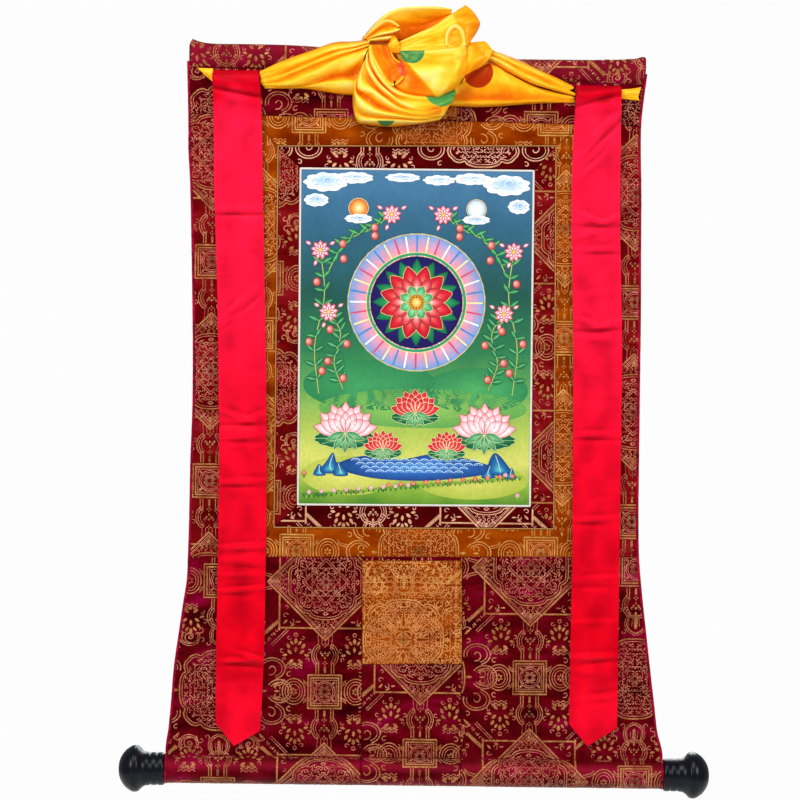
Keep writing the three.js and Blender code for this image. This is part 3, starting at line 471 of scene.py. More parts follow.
# Painted shade in hollows, darker lines along hems, and painted highlight on pale places: x, z, half length, half
# width, turn from level, change in shade
SHADES = {
    "flap": [(25, -9, 34, 1.1, 2, -0.3), (14, -28, 14, 0.9, 90, -0.16), (20, -34, 16, 10, 70, 0.14)],
    "bag": [
        (-60, -59, 10, 5, -34, -0.3), (-28, -69, 13, 5, -42, -0.2), (22, -79, 12, 6, 10, -0.45),
        (31, -80, 9, 1.6, 74, 0.5), (-69, -22, 16, 7, 62, 0.34), (-16, -71, 15, 6, -14, 0.3),
        (-69, -72, 9, 7, 0, 0.3), (-44, -42, 20, 3, -52, 0.25), (-79, -56, 5, 5, 0, -0.3),
    ],
    "pocket": [(-46, 0, 11, 9, 0, -0.34), (-30, -28, 12, 7, 70, -0.2)],
    "left_wing": [(-88, -27, 15, 6, 28, -0.34), (-120, -34, 18, 5, 22, -0.16), (-96, 1, 16, 4, 20, 0.2)],
    "crown": [(-14, 22, 16, 5, 8, -0.45), (10, 38, 20, 8, 20, -0.1), (-30, 44, 14, 5, 30, 0.16)],
    "front_upper": [(-6, 6, 16, 4, 18, 0.24), (18, 14, 14, 5, 18, -0.14), (66, 44, 16, 9, -60, -0.1)],
    "right_back": [(78, 4, 16, 10, -20, -0.24), (72, -22, 16, 6, 50, -0.3)],
    "right_sheet": [(104, -44, 20, 8, -16, -0.14), (110, -60, 50, 5, 0, -0.26), (64, -52, 8, 16, 0, -0.3)],
}

# The woven spots: x, z, radius, the direction in which each is cut off by a fold, the distance of
# that cut from its middle, colour, and the parts that it shows on
SPOTS = [
    (-9.6, -4.2, 16, 90, 1.5, "#1d8248", ("flap",)),
    (28, -53.5, 21, 0, 99, "#3f9a4c", ("bag",)),
    (-14, -24, 14, 0, 99, "#ee5238", ("pocket",)),
    (46.5, 12, 9.5, 0, 99, "#f99c10", ("front_upper",)),
    (77, -27.6, 20, 120, 4, "#ac2404", ("right_back", "right_sheet", "right_tube")),
    (-43, -84, 15, 90, -9.5, "#3a8448", ("bag",)),
]

# Turned outline of a knob: distance along it from the end of the roll, and radius
KNOB = [
    (0, 0), (0, 19.4), (0.6, 20), (2.2, 21.3), (3, 21.5), (7.6, 21.5), (8.6, 21.2), (9.4, 20.3),
    (9.8, 20.3), (10.6, 21.2), (11.4, 21.5), (16.6, 21.5), (17.6, 21.2), (18.3, 20.3), (18.7, 20.3),
    (19.4, 21.2), (20.4, 21.7), (23, 21.9), (26, 22.4), (28, 23.4), (30, 25), (32, 26.9), (33.6, 28.7),
    (35, 29.8), (36.4, 30.3), (37, 30.1), (37.6, 30.5), (40, 30.7), (42.6, 30.3), (45, 29.1),
    (48, 27.2), (51, 25), (53.8, 21.9), (56.5, 18.2), (58.6, 14.2), (60, 10), (60.8, 5), (61, 0),
]


class Table(tuple):
    """Rows of measured numbers; a number between two rows lies on a smooth line through them."""

    __hash__ = object.__hash__

    @lru_cache(maxsize=None)
    def at(self, column, place):
        places = [row[0] for row in self]
        place = min(max(place, places[0]), places[-1])
        i = min(max(bisect_right(places, place), 1), len(self) - 1)

        def slope(k):
            return (self[k][column] - self[k - 1][column]) / (places[k] - places[k - 1])

        def tangent(before, after):
            return (before + after) / 2 if before * after > 0 else 0

        gap = places[i] - places[i - 1]
        here = slope(i)
        start = tangent(slope(i - 1), here) if i > 1 else here
        end = tangent(here, slope(i + 1)) if i < len(self) - 1 else here
        t = (place - places[i - 1]) / gap
        return (
            self[i - 1][column] * (2 * t**3 - 3 * t**2 + 1)
            + self[i][column] * (3 * t**2 - 2 * t**3)
            + gap * (start * (t**3 - 2 * t**2 + t) + end * (t**3 - t**2))
        )


EDGE, SLEEVE, RIBBON_LEFT, RIBBON_RIGHT = (
    Table(sorted(rows)) for rows in (EDGE, SLEEVE, RIBBON_LEFT, RIBBON_RIGHT)
)


def look_up(table, column, place):
    return table.at(column, round(place * 20) / 20)


def along(points, share):
    """A point at a share of the way along a row of points, on a smooth curve through them."""
    place = min(max(share, 0), 1) * (len(points) - 1)
    i = min(int(place), len(points) - 2)
    t = place - i
    a, b = points[i], points[i + 1]
    before = points[i - 1] if i else tuple(2 * p - q for p, q in zip(a, b))
    after = points[i + 2] if i + 2 < len(points) else tuple(2 * q - p for p, q in zip(a, b))
    return tuple(
        0.5 * (2 * q + (r - p) * t + (2 * p - 5 * q + 4 * r - s) * t**2 + (3 * q - p - 3 * r + s) * t**3)
        for p, q, r, s in zip(before, a, b, after)
    )


def lerp(start, end, share):
    return start + (end - start) * share


def smoothstep(value, low, high):
    share = min(max((value - low) / (high - low), 0), 1)
    return share * share * (3 - 2 * share)


def laid(folds):
    """Folds with their directions worked out."""
    made = []
    for x, z, run, across, turn, rise in folds:
        angle = math.radians(turn)
        made.append((x, z, 3.2 * (run + across), math.cos(angle), math.sin(angle), run, across, rise))
    return made


def folded(x, z, folds):
    """How far a set of folds stands forward at a point."""
    forward = 0
    for fold_x, fold_z, reach, cosine, sine, run, across, rise in folds:
        side_x, side_z = x - fold_x, z - fold_z
        if abs(side_x) + abs(side_z) < reach:
            ahead = (side_x * cosine + side_z * sine) / run
            aside = (side_z * cosine - side_x * sine) / across
            forward += rise * math.exp(-(ahead**2) - aside**2)
    return forward


FOLDS, CREASES_LEFT, CREASES_RIGHT = (laid(folds) for folds in (FOLDS, CREASES_LEFT, CREASES_RIGHT))
# Painted shade of two tucks in the cloth under the veil's left wing
TUCK_SHADES = laid([(-164, -55, 11, 2.2, -14, 0.9), (-124, -62.5, 20, 2.2, -10, 0.9)])
SHADES = {part: laid(places) for part, places in SHADES.items()}


def hang(x, z):
    """Where the middle of the hanging cloth lies, with the unevenness of its weave."""
    sewn_top = smoothstep(look_up(SLEEVE, 1, x) - z, 0, FOLD_START)
    sewn_roll = smoothstep(z - ROLLER_Z - ROLL_RADIUS, 0, FOLD_END)
    uneven = 0.45 * noise.noise(Vector((x / 48, 7.3, z / 60)))
    uneven += 0.22 * noise.noise(Vector((x / 15, 2.1, z / 19)))
    return -(folded(x, z, FOLDS) + uneven) * sewn_top * sewn_roll


def within(corners, u, v):
    """A point inside four corners, from u and v of 0 to 1, left to right and bottom to top."""
    low = Vector(corners[3]).lerp(Vector(corners[2]), u)
    high = Vector(corners[0]).lerp(Vector(corners[1]), u)
    return tuple(low.lerp(high, v))


def line_across(start, end):
    """The direction square to a line, on its right-hand side, and the line's reach along it."""
    length = math.hypot(end[0] - start[0], end[1] - start[1])
    across = ((end[1] - start[1]) / length, -(end[0] - start[0]) / length)
    return across, across[0] * start[0] + across[1] * start[1]


def inset(corners, distance):
    """Four corners moved in from each side by a distance."""
    sides = [line_across(corners[i], corners[(i + 1) % 4]) for i in range(4)]
    moved = []
    for i in range(4):
        (a, b), before = sides[i - 1]
        (c, d), after = sides[i]
        before, after = before + distance, after + distance
        area = a * d - b * c
        moved.append(((before * d - after * b) / area, (a * after - c * before) / area))
    return moved


# Camera, lights and floor

CAMERA_DISTANCE = 3.2
FRAME_WIDTH = 1.0588  # what the photograph's frame takes in at the cloth, in metres
CAMERA_ROLL = math.radians(0.7)
VIEW_MIDDLE = (-0.0202, -0.4593)
FLOOR_Z = -1.3

view = bpy.data.objects.new("view", bpy.data.cameras.new("view"))
view.data.sensor_width = 36
view.data.lens = 36 * CAMERA_DISTANCE / FRAME_WIDTH
view.location = (VIEW_MIDDLE[0], -CAMERA_DISTANCE, VIEW_MIDDLE[1])
view.rotation_euler = (math.pi / 2, -CAMERA_ROLL, 0)
bpy.context.scene.collection.objects.link(view)
bpy.context.scene.camera = view
bpy.context.scene.view_settings.view_transform = "Standard"


def linear(colour, strength=1.0):
    """An sRGB hex colour as linear red, green, blue and alpha."""
    parts = [int(colour[i : i + 2], 16) / 255 for i in (1, 3, 5)]
    return (*(strength * (c / 12.92 if c <= 0.04045 else ((c + 0.055) / 1.055) ** 2.4) for c in parts), 1)


def softbox(name, place, size, power):
    """A large square lamp aimed at the middle of the scroll."""
    lamp = bpy.data.lights.new(name, "AREA")
    lamp.size = size
    lamp.energy = power
    box = bpy.data.objects.new(name, lamp)
    box.location = place
    aim = Vector((VIEW_MIDDLE[0], 0, VIEW_MIDDLE[1])) - Vector(place)
    box.rotation_euler = aim.to_track_quat("-Z", "Y").to_euler()
    bpy.context.scene.collection.objects.link(box)


softbox("softbox_left", (-2.0, -1.9, 0.35), 1.0, 39)
softbox("softbox_right", (2.0, -1.9, 0.35), 1.0, 37)
softbox("softbox_top", (-0.3, -1.5, 1.5), 1.2, 27)
softbox("softbox_back", (0.4, 2.4, 0.5), 1.6, 40)


def add(tree, kind, links=None, stops=(), **settings):
    """A node with its settings, what goes into its sockets, and the places and hex colours of its ramp."""
    made = tree.nodes.new(kind)
    for name, value in settings.items():
        setattr(made, name, value)
    for socket, value in (links or {}).items():
        if isinstance(value, bpy.types.NodeSocket):
            tree.links.new(value, made.inputs[socket])
        else:
            made.inputs[socket].default_value = value
    for i, (place, colour) in enumerate(stops):
        marks = made.color_ramp.elements
        mark = marks.new(place) if i > 1 else marks[i]
        mark.position, mark.color = place, linear(colour)
    return made


def light_world():
    """Near-white surroundings: bright behind the scroll, and a softer light on it."""
    world = bpy.data.worlds.new("studio")
    bpy.context.scene.world = world
    world.use_nodes = True
    tree = world.node_tree
    tree.nodes.clear()
    seen = add(tree, "ShaderNodeLightPath").outputs["Is Camera Ray"]
    glow = add(tree, "ShaderNodeBackground", {"Color": linear("#f6f8ff"), "Strength": 0.27})
    paper = add(tree, "ShaderNodeBackground", {"Color": linear("#fdfdfd"), "Strength": 1.0})
    mixed = add(tree, "ShaderNodeMixShader", {0: seen, 1: glow.outputs[0], 2: paper.outputs[0]})
    add(tree, "ShaderNodeOutputWorld", {"Surface": mixed.outputs[0]})


light_world()


# Materials

WAVE_UNIT = math.pi / 10  # a wave texture's period in metres, times its scale
GLOSS, TINT = "Specular IOR Level", "Specular Tint"


def start_finish(name, stretch=(1, 1, 1)):
    """An empty material, its node tree, and the place on the object, stretched."""
    made = bpy.data.materials.new(name)
    made.use_nodes = True
    tree = made.node_tree
    tree.nodes.clear()
    return made, tree, placed(tree, stretch)


def end_finish(made, colour, roughness, relief=None, depth=0, strength=1, **sockets):
    """One Principled shader, whose plain values sit on its own sockets, with a relief in millimetres."""
    tree = made.node_tree
    sockets.update({"Base Color": colour, "Roughness": roughness})
    if relief:
        links = {"Height": relief, "Distance": depth * MM, "Strength": strength}
        sockets["Normal"] = add(tree, "ShaderNodeBump", links).outputs[0]
    shader = add(tree, "ShaderNodeBsdfPrincipled", sockets)
    add(tree, "ShaderNodeOutputMaterial", {"Surface": shader.outputs[0]})
    return made


def placed(tree, stretch=(1, 1, 1), turn=0):
    """The place on the object in its own frame, stretched and turned about Y."""
    where = add(tree, "ShaderNodeTexCoord").outputs["Object"]
    links = {"Vector": where, "Scale": stretch, "Rotation": (0, math.radians(turn), 0)}
    return add(tree, "ShaderNodeMapping", links).outputs[0]


def clouds(tree, where, *sizes, share=0.5):
    """Cloudy noise of one size or two: the spots in millimetres, with their detail."""
    made = []
    for size, detail in sizes:
        links = {"Vector": where, "Scale": 1 / (size * MM), "Detail": detail}
        made.append(add(tree, "ShaderNodeTexNoise", links).outputs["Fac"])
    return both(tree, *made, share) if len(made) > 1 else made[0]


def threads(tree, where, *sets, distortion=0.6):
    """Threads side by side in one direction or two: their pitch in millimetres, and their axis."""
    made = []
    for pitch, axis in sets:
        links = {"Vector": where, "Scale": WAVE_UNIT / (pitch * MM), "Distortion": distortion}
        made.append(add(tree, "ShaderNodeTexWave", links, bands_direction=axis).outputs["Fac"])
    return both(tree, *made) if len(made) > 1 else made[0]


def both(tree, first, second, share=0.5):
    """Two patterns laid over each other."""
    return add(tree, "ShaderNodeMix", {0: share, 2: first, 3: second}).outputs[0]


def attribute(tree, name, part="Fac"):
    """What the mesh itself says at each place, such as its painted light and tone, its dye or its paint."""
    return add(tree, "ShaderNodeAttribute", attribute_name=name).outputs[part]


LIT_SATIN = "#981a30"  # painted highlight, where a turn of the satin catches the light


def brocade_ground(name, stops, sheen):
    """Silk satin woven with a twill line: soft gloss, painted sheen in soft patches, a painted highlight where a turn
    of it catches the light, and painted shade at seams and tucks.
    """
    made, tree, where = start_finish(name)
    upright = placed(tree, (1, 1, 2.4))
    patches = both(tree, clouds(tree, upright, (62, 3)), clouds(tree, where, (2.2, 2)), 0.22)
    ground = add(tree, "ShaderNodeValToRGB", {0: patches}, stops).outputs[0]
    crest = attribute(tree, "crest")
    links = {0: crest, 6: ground, 7: linear(LIT_SATIN)}
    turned = add(tree, "ShaderNodeMix", links, data_type="RGBA").outputs[2]
    # At a seam, and in a tuck, the attribute of painted light is below nothing and the satin is painted in shadow
    shadow = add(tree, "ShaderNodeMapRange", {"Value": crest, "From Min": -1, "From Max": 0, "To Min": 0.3})
    shaded = add(tree, "ShaderNodeHueSaturation", {"Color": turned, "Value": shadow.outputs[0]}).outputs[0]
    # The real warp is about 0.1 mm apart: 0.9 mm is as coarse as it needs to show
    weave = both(tree, threads(tree, where, (0.9, "X")), threads(tree, placed(tree, turn=45), (1.3, "Z")))
    return end_finish(made, shaded, 0.42, weave, 0.12, 0.5, **{GLOSS: 0.35, TINT: linear(sheen)})


def thread_gold(name, fine, broad):
    """Flat gilt thread woven in floats, brown where it dips into the satin; the broad lines of the
    figure are duller than the fine ones."""
    made, tree, where = start_finish(name)
    worn = clouds(tree, where, (1.3, 2), (18, 2), share=0.4)
    lines = [
        add(tree, "ShaderNodeValToRGB", {0: worn}, list(zip((0.36, 0.5, 0.64), colours))).outputs[0]
        for colours in (fine, broad)
    ]
    links = {0: attribute(tree, "crest"), 6: lines[0], 7: lines[1]}
    gilt = add(tree, "ShaderNodeMix", links, data_type="RGBA").outputs[2]
    floats = threads(tree, placed(tree, turn=30), (0.7, "X"))
    sheen = {"Metallic": 0.1, GLOSS: 0.2, TINT: linear("#ffb080")}
    return end_finish(made, gilt, 0.45, floats, 0.1, 0.5, **sheen)


MAROON_GROUND = brocade_ground(
    "silk_brocade_maroon_woven",
    [(0.34, "#1e0001"), (0.45, "#460103"), (0.54, "#5c0309"), (0.62, "#740224"), (0.69, "#92033c")],
    "#d00850",
)
# The same maroon brocade, cut crosswise: its redder colour is painted sheen, where its satin turned the other way
# catches the light
MAROON_PAINTED_SHEEN_GROUND = brocade_ground(
    "silk_brocade_maroon_woven_crosswise", [(0.34, "#420202"), (0.5, "#680608"), (0.66, "#84141c")], "#e01030"
)
DARK_GROUND = brocade_ground(
    "silk_brocade_dark_red_woven", [(0.32, "#2a0002"), (0.5, "#440204"), (0.7, "#5c0408")], "#a00820"
)
OCHRE_GROUND = brocade_ground(
    "silk_brocade_ochre_woven", [(0.34, "#641600"), (0.5, "#863000"), (0.66, "#9e4604")], "#f07808"
)
GOLD_ON_MAROON = thread_gold(
    "gilt_thread_on_maroon", ("#6e2c1e", "#ac5e48", "#e09a80"), ("#6c3a1c", "#a0663a", "#cc8e5a")
)
GOLD_ON_DARK = thread_gold(
    "gilt_thread_on_dark_red", ("#a86450", "#dc9c84", "#ffc8b0"), ("#a06844", "#d09a74", "#f0bc94")
)
GOLD_ON_OCHRE = thread_gold(
    "gilt_thread_on_ochre", ("#9a5020", "#c87e46", "#eaa464"), ("#8c581e", "#b87e38", "#dca458")
)


def red_satin():
    """Polyester satin ribbon: bright red and glossy along its length, a little darker low down, with painted shade
    near its top where it hangs under the veil, and painted shade and highlight along its creases.
    """
    made, tree, where = start_finish("polyester_satin_red_woven")
    up = add(tree, "ShaderNodeSeparateXYZ", {0: where}).outputs["Z"]
    share = add(tree, "ShaderNodeMapRange", {"Value": up, "From Min": -0.92, "From Max": -0.02}).outputs[0]
    shade = both(tree, share, clouds(tree, placed(tree, (1, 1, 0.6)), (75, 2)), 0.12)
    # Along the ribbon from its lower end: a little darker low down, and painted shade at its top, under the veil
    stops = [
        (0.06, "#e60c28"), (0.2, "#d20418"), (0.45, "#e00a26"), (0.62, "#ec1436"),
        (0.87, "#ee183c"), (0.892, "#e40e30"), (0.903, "#c0041a"), (0.94, "#b00012"),
    ]
    dye_and_painted_light = add(tree, "ShaderNodeValToRGB", {0: shade}, stops).outputs[0]
    # Painted shade in the hollows of the creases and painted highlight on their ridges
    links = {"Value": attribute(tree, "crest"), "To Min": 0.5, "To Max": 1.5}
    tone = add(tree, "ShaderNodeMapRange", links).outputs[0]
    painted_crease_light = add(tree, "ShaderNodeHueSaturation", {"Color": dye_and_painted_light, "Value": tone}).outputs[0]
    # The real yarn is about 0.1 mm thick: 0.8 mm is as coarse as it needs to show
    weave = threads(tree, where, (0.8, "Z"), distortion=0.3)
    return end_finish(made, painted_crease_light, 0.32, weave, 0.05, 0.4, **{GLOSS: 0.5, TINT: linear("#ff1838")})


def yellow_silk():
    """Habotai silk satin: golden, with painted highlight on the crests of its folds and painted orange shade in their
    hollows.
    """
    made, tree, where = start_finish("silk_satin_yellow_woven")
    shade = both(tree, attribute(tree, "crest"), clouds(tree, where, (24, 2)), 0.2)
    stops = [
        (0.06, "#e86404"), (0.22, "#f48206"), (0.4, "#fb9e0c"),
        (0.6, "#ffb91c"), (0.8, "#ffd044"), (0.96, "#ffe07c"),
    ]
    ground = add(tree, "ShaderNodeValToRGB", {0: shade}, stops).outputs[0]
    # The alpha of a disc's dye is half at its rim and changes by a twelfth in a millimetre
    links = {"Value": attribute(tree, "dye", "Alpha"), "From Min": 0.47, "From Max": 0.53}
    inked = add(tree, "ShaderNodeMapRange", links).outputs[0]
    links = {0: inked, 6: ground, 7: attribute(tree, "dye", "Color")}
    dye_and_painted_light = add(tree, "ShaderNodeMix", links, data_type="RGBA").outputs[2]
    weave = threads(tree, placed(tree, turn=20), (0.9, "X"), distortion=0.8)
    glow = {"Subsurface Weight": 0.1, "Subsurface Radius": (1, 0.45, 0.08), "Subsurface Scale": 3 * MM}
    return end_finish(made, dye_and_painted_light, 0.28, weave, 0.05, 0.35, **{GLOSS: 0.6, TINT: linear("#ffd860")}, **glow)


def twisted(name, dark, light, roughness):
    """Twisted cotton or gilt cord: painted shade between its strands, with fine fibres."""
    made, tree, where = start_finish(name)
    fibres = clouds(tree, where, (0.8, 2))
    shade = both(tree, attribute(tree, "crest"), fibres, 0.3)
    strands = add(tree, "ShaderNodeValToRGB", {0: shade}, [(0.1, dark), (0.8, light)]).outputs[0]
    return end_finish(made, strands, roughness, fibres, 0.12, 0.5)


def tape():
    """Folded satin bias tape, with small puckers where it turns round the edge."""
    made, tree, where = start_finish("satin_tape_red_folded")
    worn = clouds(tree, where, (7, 3), (50, 2), share=0.4)
    stops = [(0.35, "#4c0412"), (0.5, "#8a082a"), (0.62, "#b00e32")]
    satin = add(tree, "ShaderNodeValToRGB", {0: worn}, stops).outputs[0]
    puckers = clouds(tree, where, (3, 3))
    return end_finish(made, satin, 0.4, puckers, 0.5, 0.5, **{GLOSS: 0.4, TINT: linear("#ff2848")})


def lacquer():
    """Turned hardwood under gloss black lacquer, its grain just showing through."""
    made, tree, where = start_finish("lacquer_black_on_turned_wood", (1, 6, 6))
    grain = clouds(tree, where, (9, 4))
    black = add(tree, "ShaderNodeValToRGB", {0: grain}, [(0.35, "#000106"), (0.7, "#060a18")]).outputs[0]
    return end_finish(made, black, 0.3, grain, 0.04, 0.3, **{GLOSS: 0.24})


def softwood():
    """Sanded softwood dowel, plain, with its grain along it."""
    made, tree, where = start_finish("softwood_sanded", (0.12, 1, 1))
    grain = both(tree, clouds(tree, where, (5, 4)), threads(tree, where, (2.4, "Z"), distortion=3), 0.4)
    wood = add(tree, "ShaderNodeValToRGB", {0: grain}, [(0.3, "#8a6038"), (0.7, "#c8a070")]).outputs[0]
    return end_finish(made, wood, 0.65, grain, 0.15, 0.4)


CANVAS_YARNS = ((0.9, "X"), (0.9, "Z"))  # the real yarns are half as thick, too fine to show


def painted_canvas():
    """Cotton canvas primed and painted in flat mineral colours, matt, its weave just showing."""
    made, tree, where = start_finish("mineral_paint_on_cotton_canvas")
    brushed = clouds(tree, where, (5, 3), (34, 2))
    links = {"Value": brushed, "From Min": 0.3, "From Max": 0.7, "To Min": 0.86, "To Max": 1.12}
    tone = add(tree, "ShaderNodeMapRange", links).outputs[0]
    links = {"Color": attribute(tree, "paint", "Color"), "Value": tone}
    coats = add(tree, "ShaderNodeHueSaturation", links).outputs[0]
    return end_finish(made, coats, 0.6, threads(tree, where, *CANVAS_YARNS), 0.06, 0.4, **{GLOSS: 0.15})


def bare_canvas():
    """The unpainted back of the cotton canvas."""
    made, tree, where = start_finish("cotton_canvas_unpainted")
    worn = clouds(tree, where, (18, 4))
    cotton = add(tree, "ShaderNodeValToRGB", {0: worn}, [(0.3, "#b8a888"), (0.7, "#d8ccb0")]).outputs[0]
    return end_finish(made, cotton, 0.8, threads(tree, where, *CANVAS_YARNS), 0.1, 0.5)


RED_SATIN = red_satin()
YELLOW_SILK = yellow_silk()
WHITE_CORD = twisted("cotton_cord_white_twisted", "#a89c8e", "#fffaf2", 0.8)
GOLD_CORD = twisted("gilt_cord_twisted", "#6a3a10", "#d8a04c", 0.45)
RED_TAPE = tape()
LACQUER = lacquer()
SOFTWOOD = softwood()
PAINTED_CANVAS = painted_canvas()
BARE_CANVAS = bare_canvas()


# Making pieces


def piece(name, form, material, slot, replaces=(), thickness=0, smooth=True):
    """A finished piece from a mesh in millimetres, riding on the only body."""
    bmesh.ops.scale(form, vec=(MM, MM, MM), verts=form.verts)
    mesh = bpy.data.meshes.new(name)
    form.to_mesh(mesh)
    form.free()
    mesh.polygons.foreach_set("use_smooth", [smooth] * len(mesh.polygons))
    mesh.materials.append(material)
    made = bpy.data.objects.new(name, mesh)
    bpy.context.scene.collection.objects.link(made)
    if thickness:
        wall = made.modifiers.new("thickness", "SOLIDIFY")
        wall.thickness = thickness * MM
        wall.offset = 0
    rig.ride(made, "root")
    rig.slot(made, slot)
    if replaces:
        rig.replaces(made, *replaces)
    return made


def grid(form, columns, rows, place):
    """Adds a grid whose corners place(u, v) puts where they belong; returns its vertices."""
    made = bmesh.ops.create_grid(form, x_segments=columns, y_segments=rows, size=0.5)["verts"]
    for vert in made:
        vert.co = place(vert.co.x + 0.5, vert.co.y + 0.5)
    return made


def seam_stops(length, pitch=CLOTH_PITCH):
    """Shares along a side: close together at its two seams, and even between them."""
    near = [0, 0.6 / length, 1.5 / length]
    count = max(2, round(length / pitch))
    even = [i / count for i in range(1, count) if near[-1] * 1.3 < i / count < 1 - near[-1] * 1.3]
    return [*near, *even, *(1 - share for share in reversed(near))]


SEAM_DIP = 0.8  # how far cloth is drawn back at a seam
SEAM_WIDTH = 2.6  # and over what width
SEAM_SHADE = 0.9  # how dark the painted shade is there, on the scale of the attribute of painted light
SHADE_WIDTH = 1.6
PUCKER = 0.5  # how uneven the sleeve is at its front
GLINT_TURN = 1.15  # where the painted highlight lies, as the roll catches the light from above: the turn from its top, in radians
GLINT_SPREAD = 0.36
HEM_ROUND = 0.97  # how much of the way round the roll and the sleeve their hems go
SLEEVE_ROUND = 0.985
THINNER = 0.1  # the dressed cloth lies inside its solid


class Panel:
    """A flat cut of cloth. Its figure and its mesh are laid out on the flat, where the hem round
    the roller and the sleeve carry on straight, and place() then puts each point where it hangs."""

    def __init__(self, name, seams, middle=0, thickness=CLOTH):
        self.name = name
        self.seams = [line_across(*seam) for seam in seams]
        self.middle = middle
        self.thickness = thickness

    def from_seam(self, x, z):
        return min((a * x + b * z - reach for (a, b), reach in self.seams), default=99)

    def place(self, x, z, out=0):
        draw = max(0, 1 - max(self.from_seam(x, z), 0) / SEAM_WIDTH)
        flat = Vector((x, hang(x, z) + SEAM_DIP * draw * draw - self.middle - out, z))
        if self.name.startswith("earth") and z < ROLL_TOP:
            angle = (ROLL_TOP - z) / ROLL_MIDDLE
            reach = ROLL_MIDDLE + out
            turned = Vector((x, -reach * math.sin(angle), ROLLER_Z + reach * math.cos(angle)))
            return flat.lerp(turned, smoothstep(ROLL_TOP - z, 0, ROLL_EASE))
        if self.name.startswith("heaven_panel"):
            low, high, half = (look_up(SLEEVE, column, x) for column in (1, 2, 3))
            if z > low:
                height, half = (high - low) / 2, half - CLOTH / 2
                share = (z - low) / sleeve_girth(x)
                share += 0.02 * math.sin(4 * math.pi * share)
                angle = 2 * math.pi * share
                pucker = PUCKER * noise.noise(Vector((x / 6, 0, z / 30))) * (1 - math.cos(angle)) * 0.5
                front = (half + out + pucker) * math.sin(angle)
                turned = Vector((x, -front, (low + high) / 2 - (height + out - 1) * math.cos(angle)))
                return flat.lerp(turned, smoothstep(z - low, 0, ROLL_EASE))
        return flat

    def gloss(self, spot):
        """How much of the light from above the satin catches where it turns, as a painted highlight, less the painted
        shade of two tucks.
        """
        if self.name.startswith("earth") and spot.z < ROLL_TOP:
            turn = math.atan2(-spot.y, spot.z - ROLLER_Z)
            return 0.42 * math.exp(-(((turn - GLINT_TURN) / GLINT_SPREAD) ** 2)) if turn > 0 else 0
        if self.name == "heaven_panel":
            turned = smoothstep(spot.z - look_up(SLEEVE, 1, spot.x), 0, 9)
            return 0.36 * turned - folded(spot.x, spot.z, TUCK_SHADES)
        return 0


def sleeve_girth(x):
    """The cloth's length round the sleeve."""
    low, high, half = (look_up(SLEEVE, column, x) for column in (1, 2, 3))
    height = (high - low) / 2
    return math.pi * (3 * (half + height) - math.sqrt((3 * half + height) * (half + 3 * height)))


def measure(panel, corners):
    """The box round a panel on the flat, and the size that it was cut to."""
    xs, zs = zip(*corners)
    panel.box = (min(xs), max(xs), min(zs), max(zs))
    panel.flat = ((panel.box[1] - panel.box[0]) * MM, (panel.box[3] - panel.box[2]) * MM)
    panel.area = None


def strip_panel(name, corners, middle=0, thickness=CLOTH, pitch=CLOTH_PITCH):
    """A panel with four straight seams."""
    sewn = inset(corners, SEWN)
    seams = [(sewn[i], sewn[(i + 1) % 4]) for i in range(4)]
    made = Panel(name, seams, middle, thickness)
    size = Vector(sewn[1]) - Vector(sewn[0]), Vector(sewn[0]) - Vector(sewn[3])
    made.stops = seam_stops(size[0].length, pitch), seam_stops(size[1].length, pitch)
    made.outline = lambda u, v: within(sewn, u, v)
    measure(made, sewn)
    twice = sum(sewn[i - 1][0] * sewn[i][1] - sewn[i][0] * sewn[i - 1][1] for i in range(4))
    made.area = abs(twice) / 2 * MM * MM
    return made


def seam_at(start, end, x):
    return lerp(start[1], end[1], (x - start[0]) / (end[0] - start[0]))


def top_seam(x):
    return seam_at(GOLD_CORNERS[0], GOLD_CORNERS[1], x)


def bottom_seam(x):
    return seam_at(GOLD_CORNERS[3], GOLD_CORNERS[2], x)


def span_panel(name, low, high, left, right, seams):
    """A panel between two level lines, and between two upright ones that may curve."""
    made = Panel(name, seams)
    middle = (left(HALF_WAY) + right(HALF_WAY)) / 2
    height = high(middle) - low(middle)
    made.stops = seam_stops(right(HALF_WAY) - left(HALF_WAY)), seam_stops(height)

    def outline(u, v):
        z = lerp(low(middle), high(middle), v)
        x = lerp(left(z), right(z), u)
        z = lerp(low(x), high(x), v)
        return lerp(left(z), right(z), u), z

    made.outline = outline
    measure(made, [outline(u, v) for u in (0, 0.5, 1) for v in (0, 0.25, 0.5, 0.75, 1)])
    return made


def edge_left(z):
    return look_up(EDGE, 1, z)


def edge_right(z):
    return look_up(EDGE, 2, z)


def hem_low(_):
    return ROLL_TOP - 2 * math.pi * ROLL_MIDDLE * HEM_ROUND


def sleeve_back(x):
    return look_up(SLEEVE, 1, x) + SLEEVE_ROUND * sleeve_girth(x)


def upright(x):
    return lambda z: x


def sloped(start, end):
    return lambda z: lerp(start[0], end[0], (z - start[1]) / (end[1] - start[1]))


FAR = 420
TOP_LINE = [(-FAR, top_seam(-FAR)), (FAR, top_seam(FAR))]
BOTTOM_LINE = [(-FAR, bottom_seam(-FAR)), (FAR, bottom_seam(FAR))]
LEFT_LINE = [GOLD_CORNERS[0], GOLD_CORNERS[3]]
RIGHT_LINE = [GOLD_CORNERS[1], GOLD_CORNERS[2]]


def ring_panels(name, inner, outer):
    """The four mitred strips between two sets of corners."""
    made = []
    for i, side in enumerate(("top", "right", "bottom", "left")):
        after = (i + 1) % 4
        ring = [outer[i], outer[after], inner[after], inner[i]]
        made.append(strip_panel(f"{name}_{side}", [ring[(k + 4 - i) % 4] for k in range(4)]))
    return made


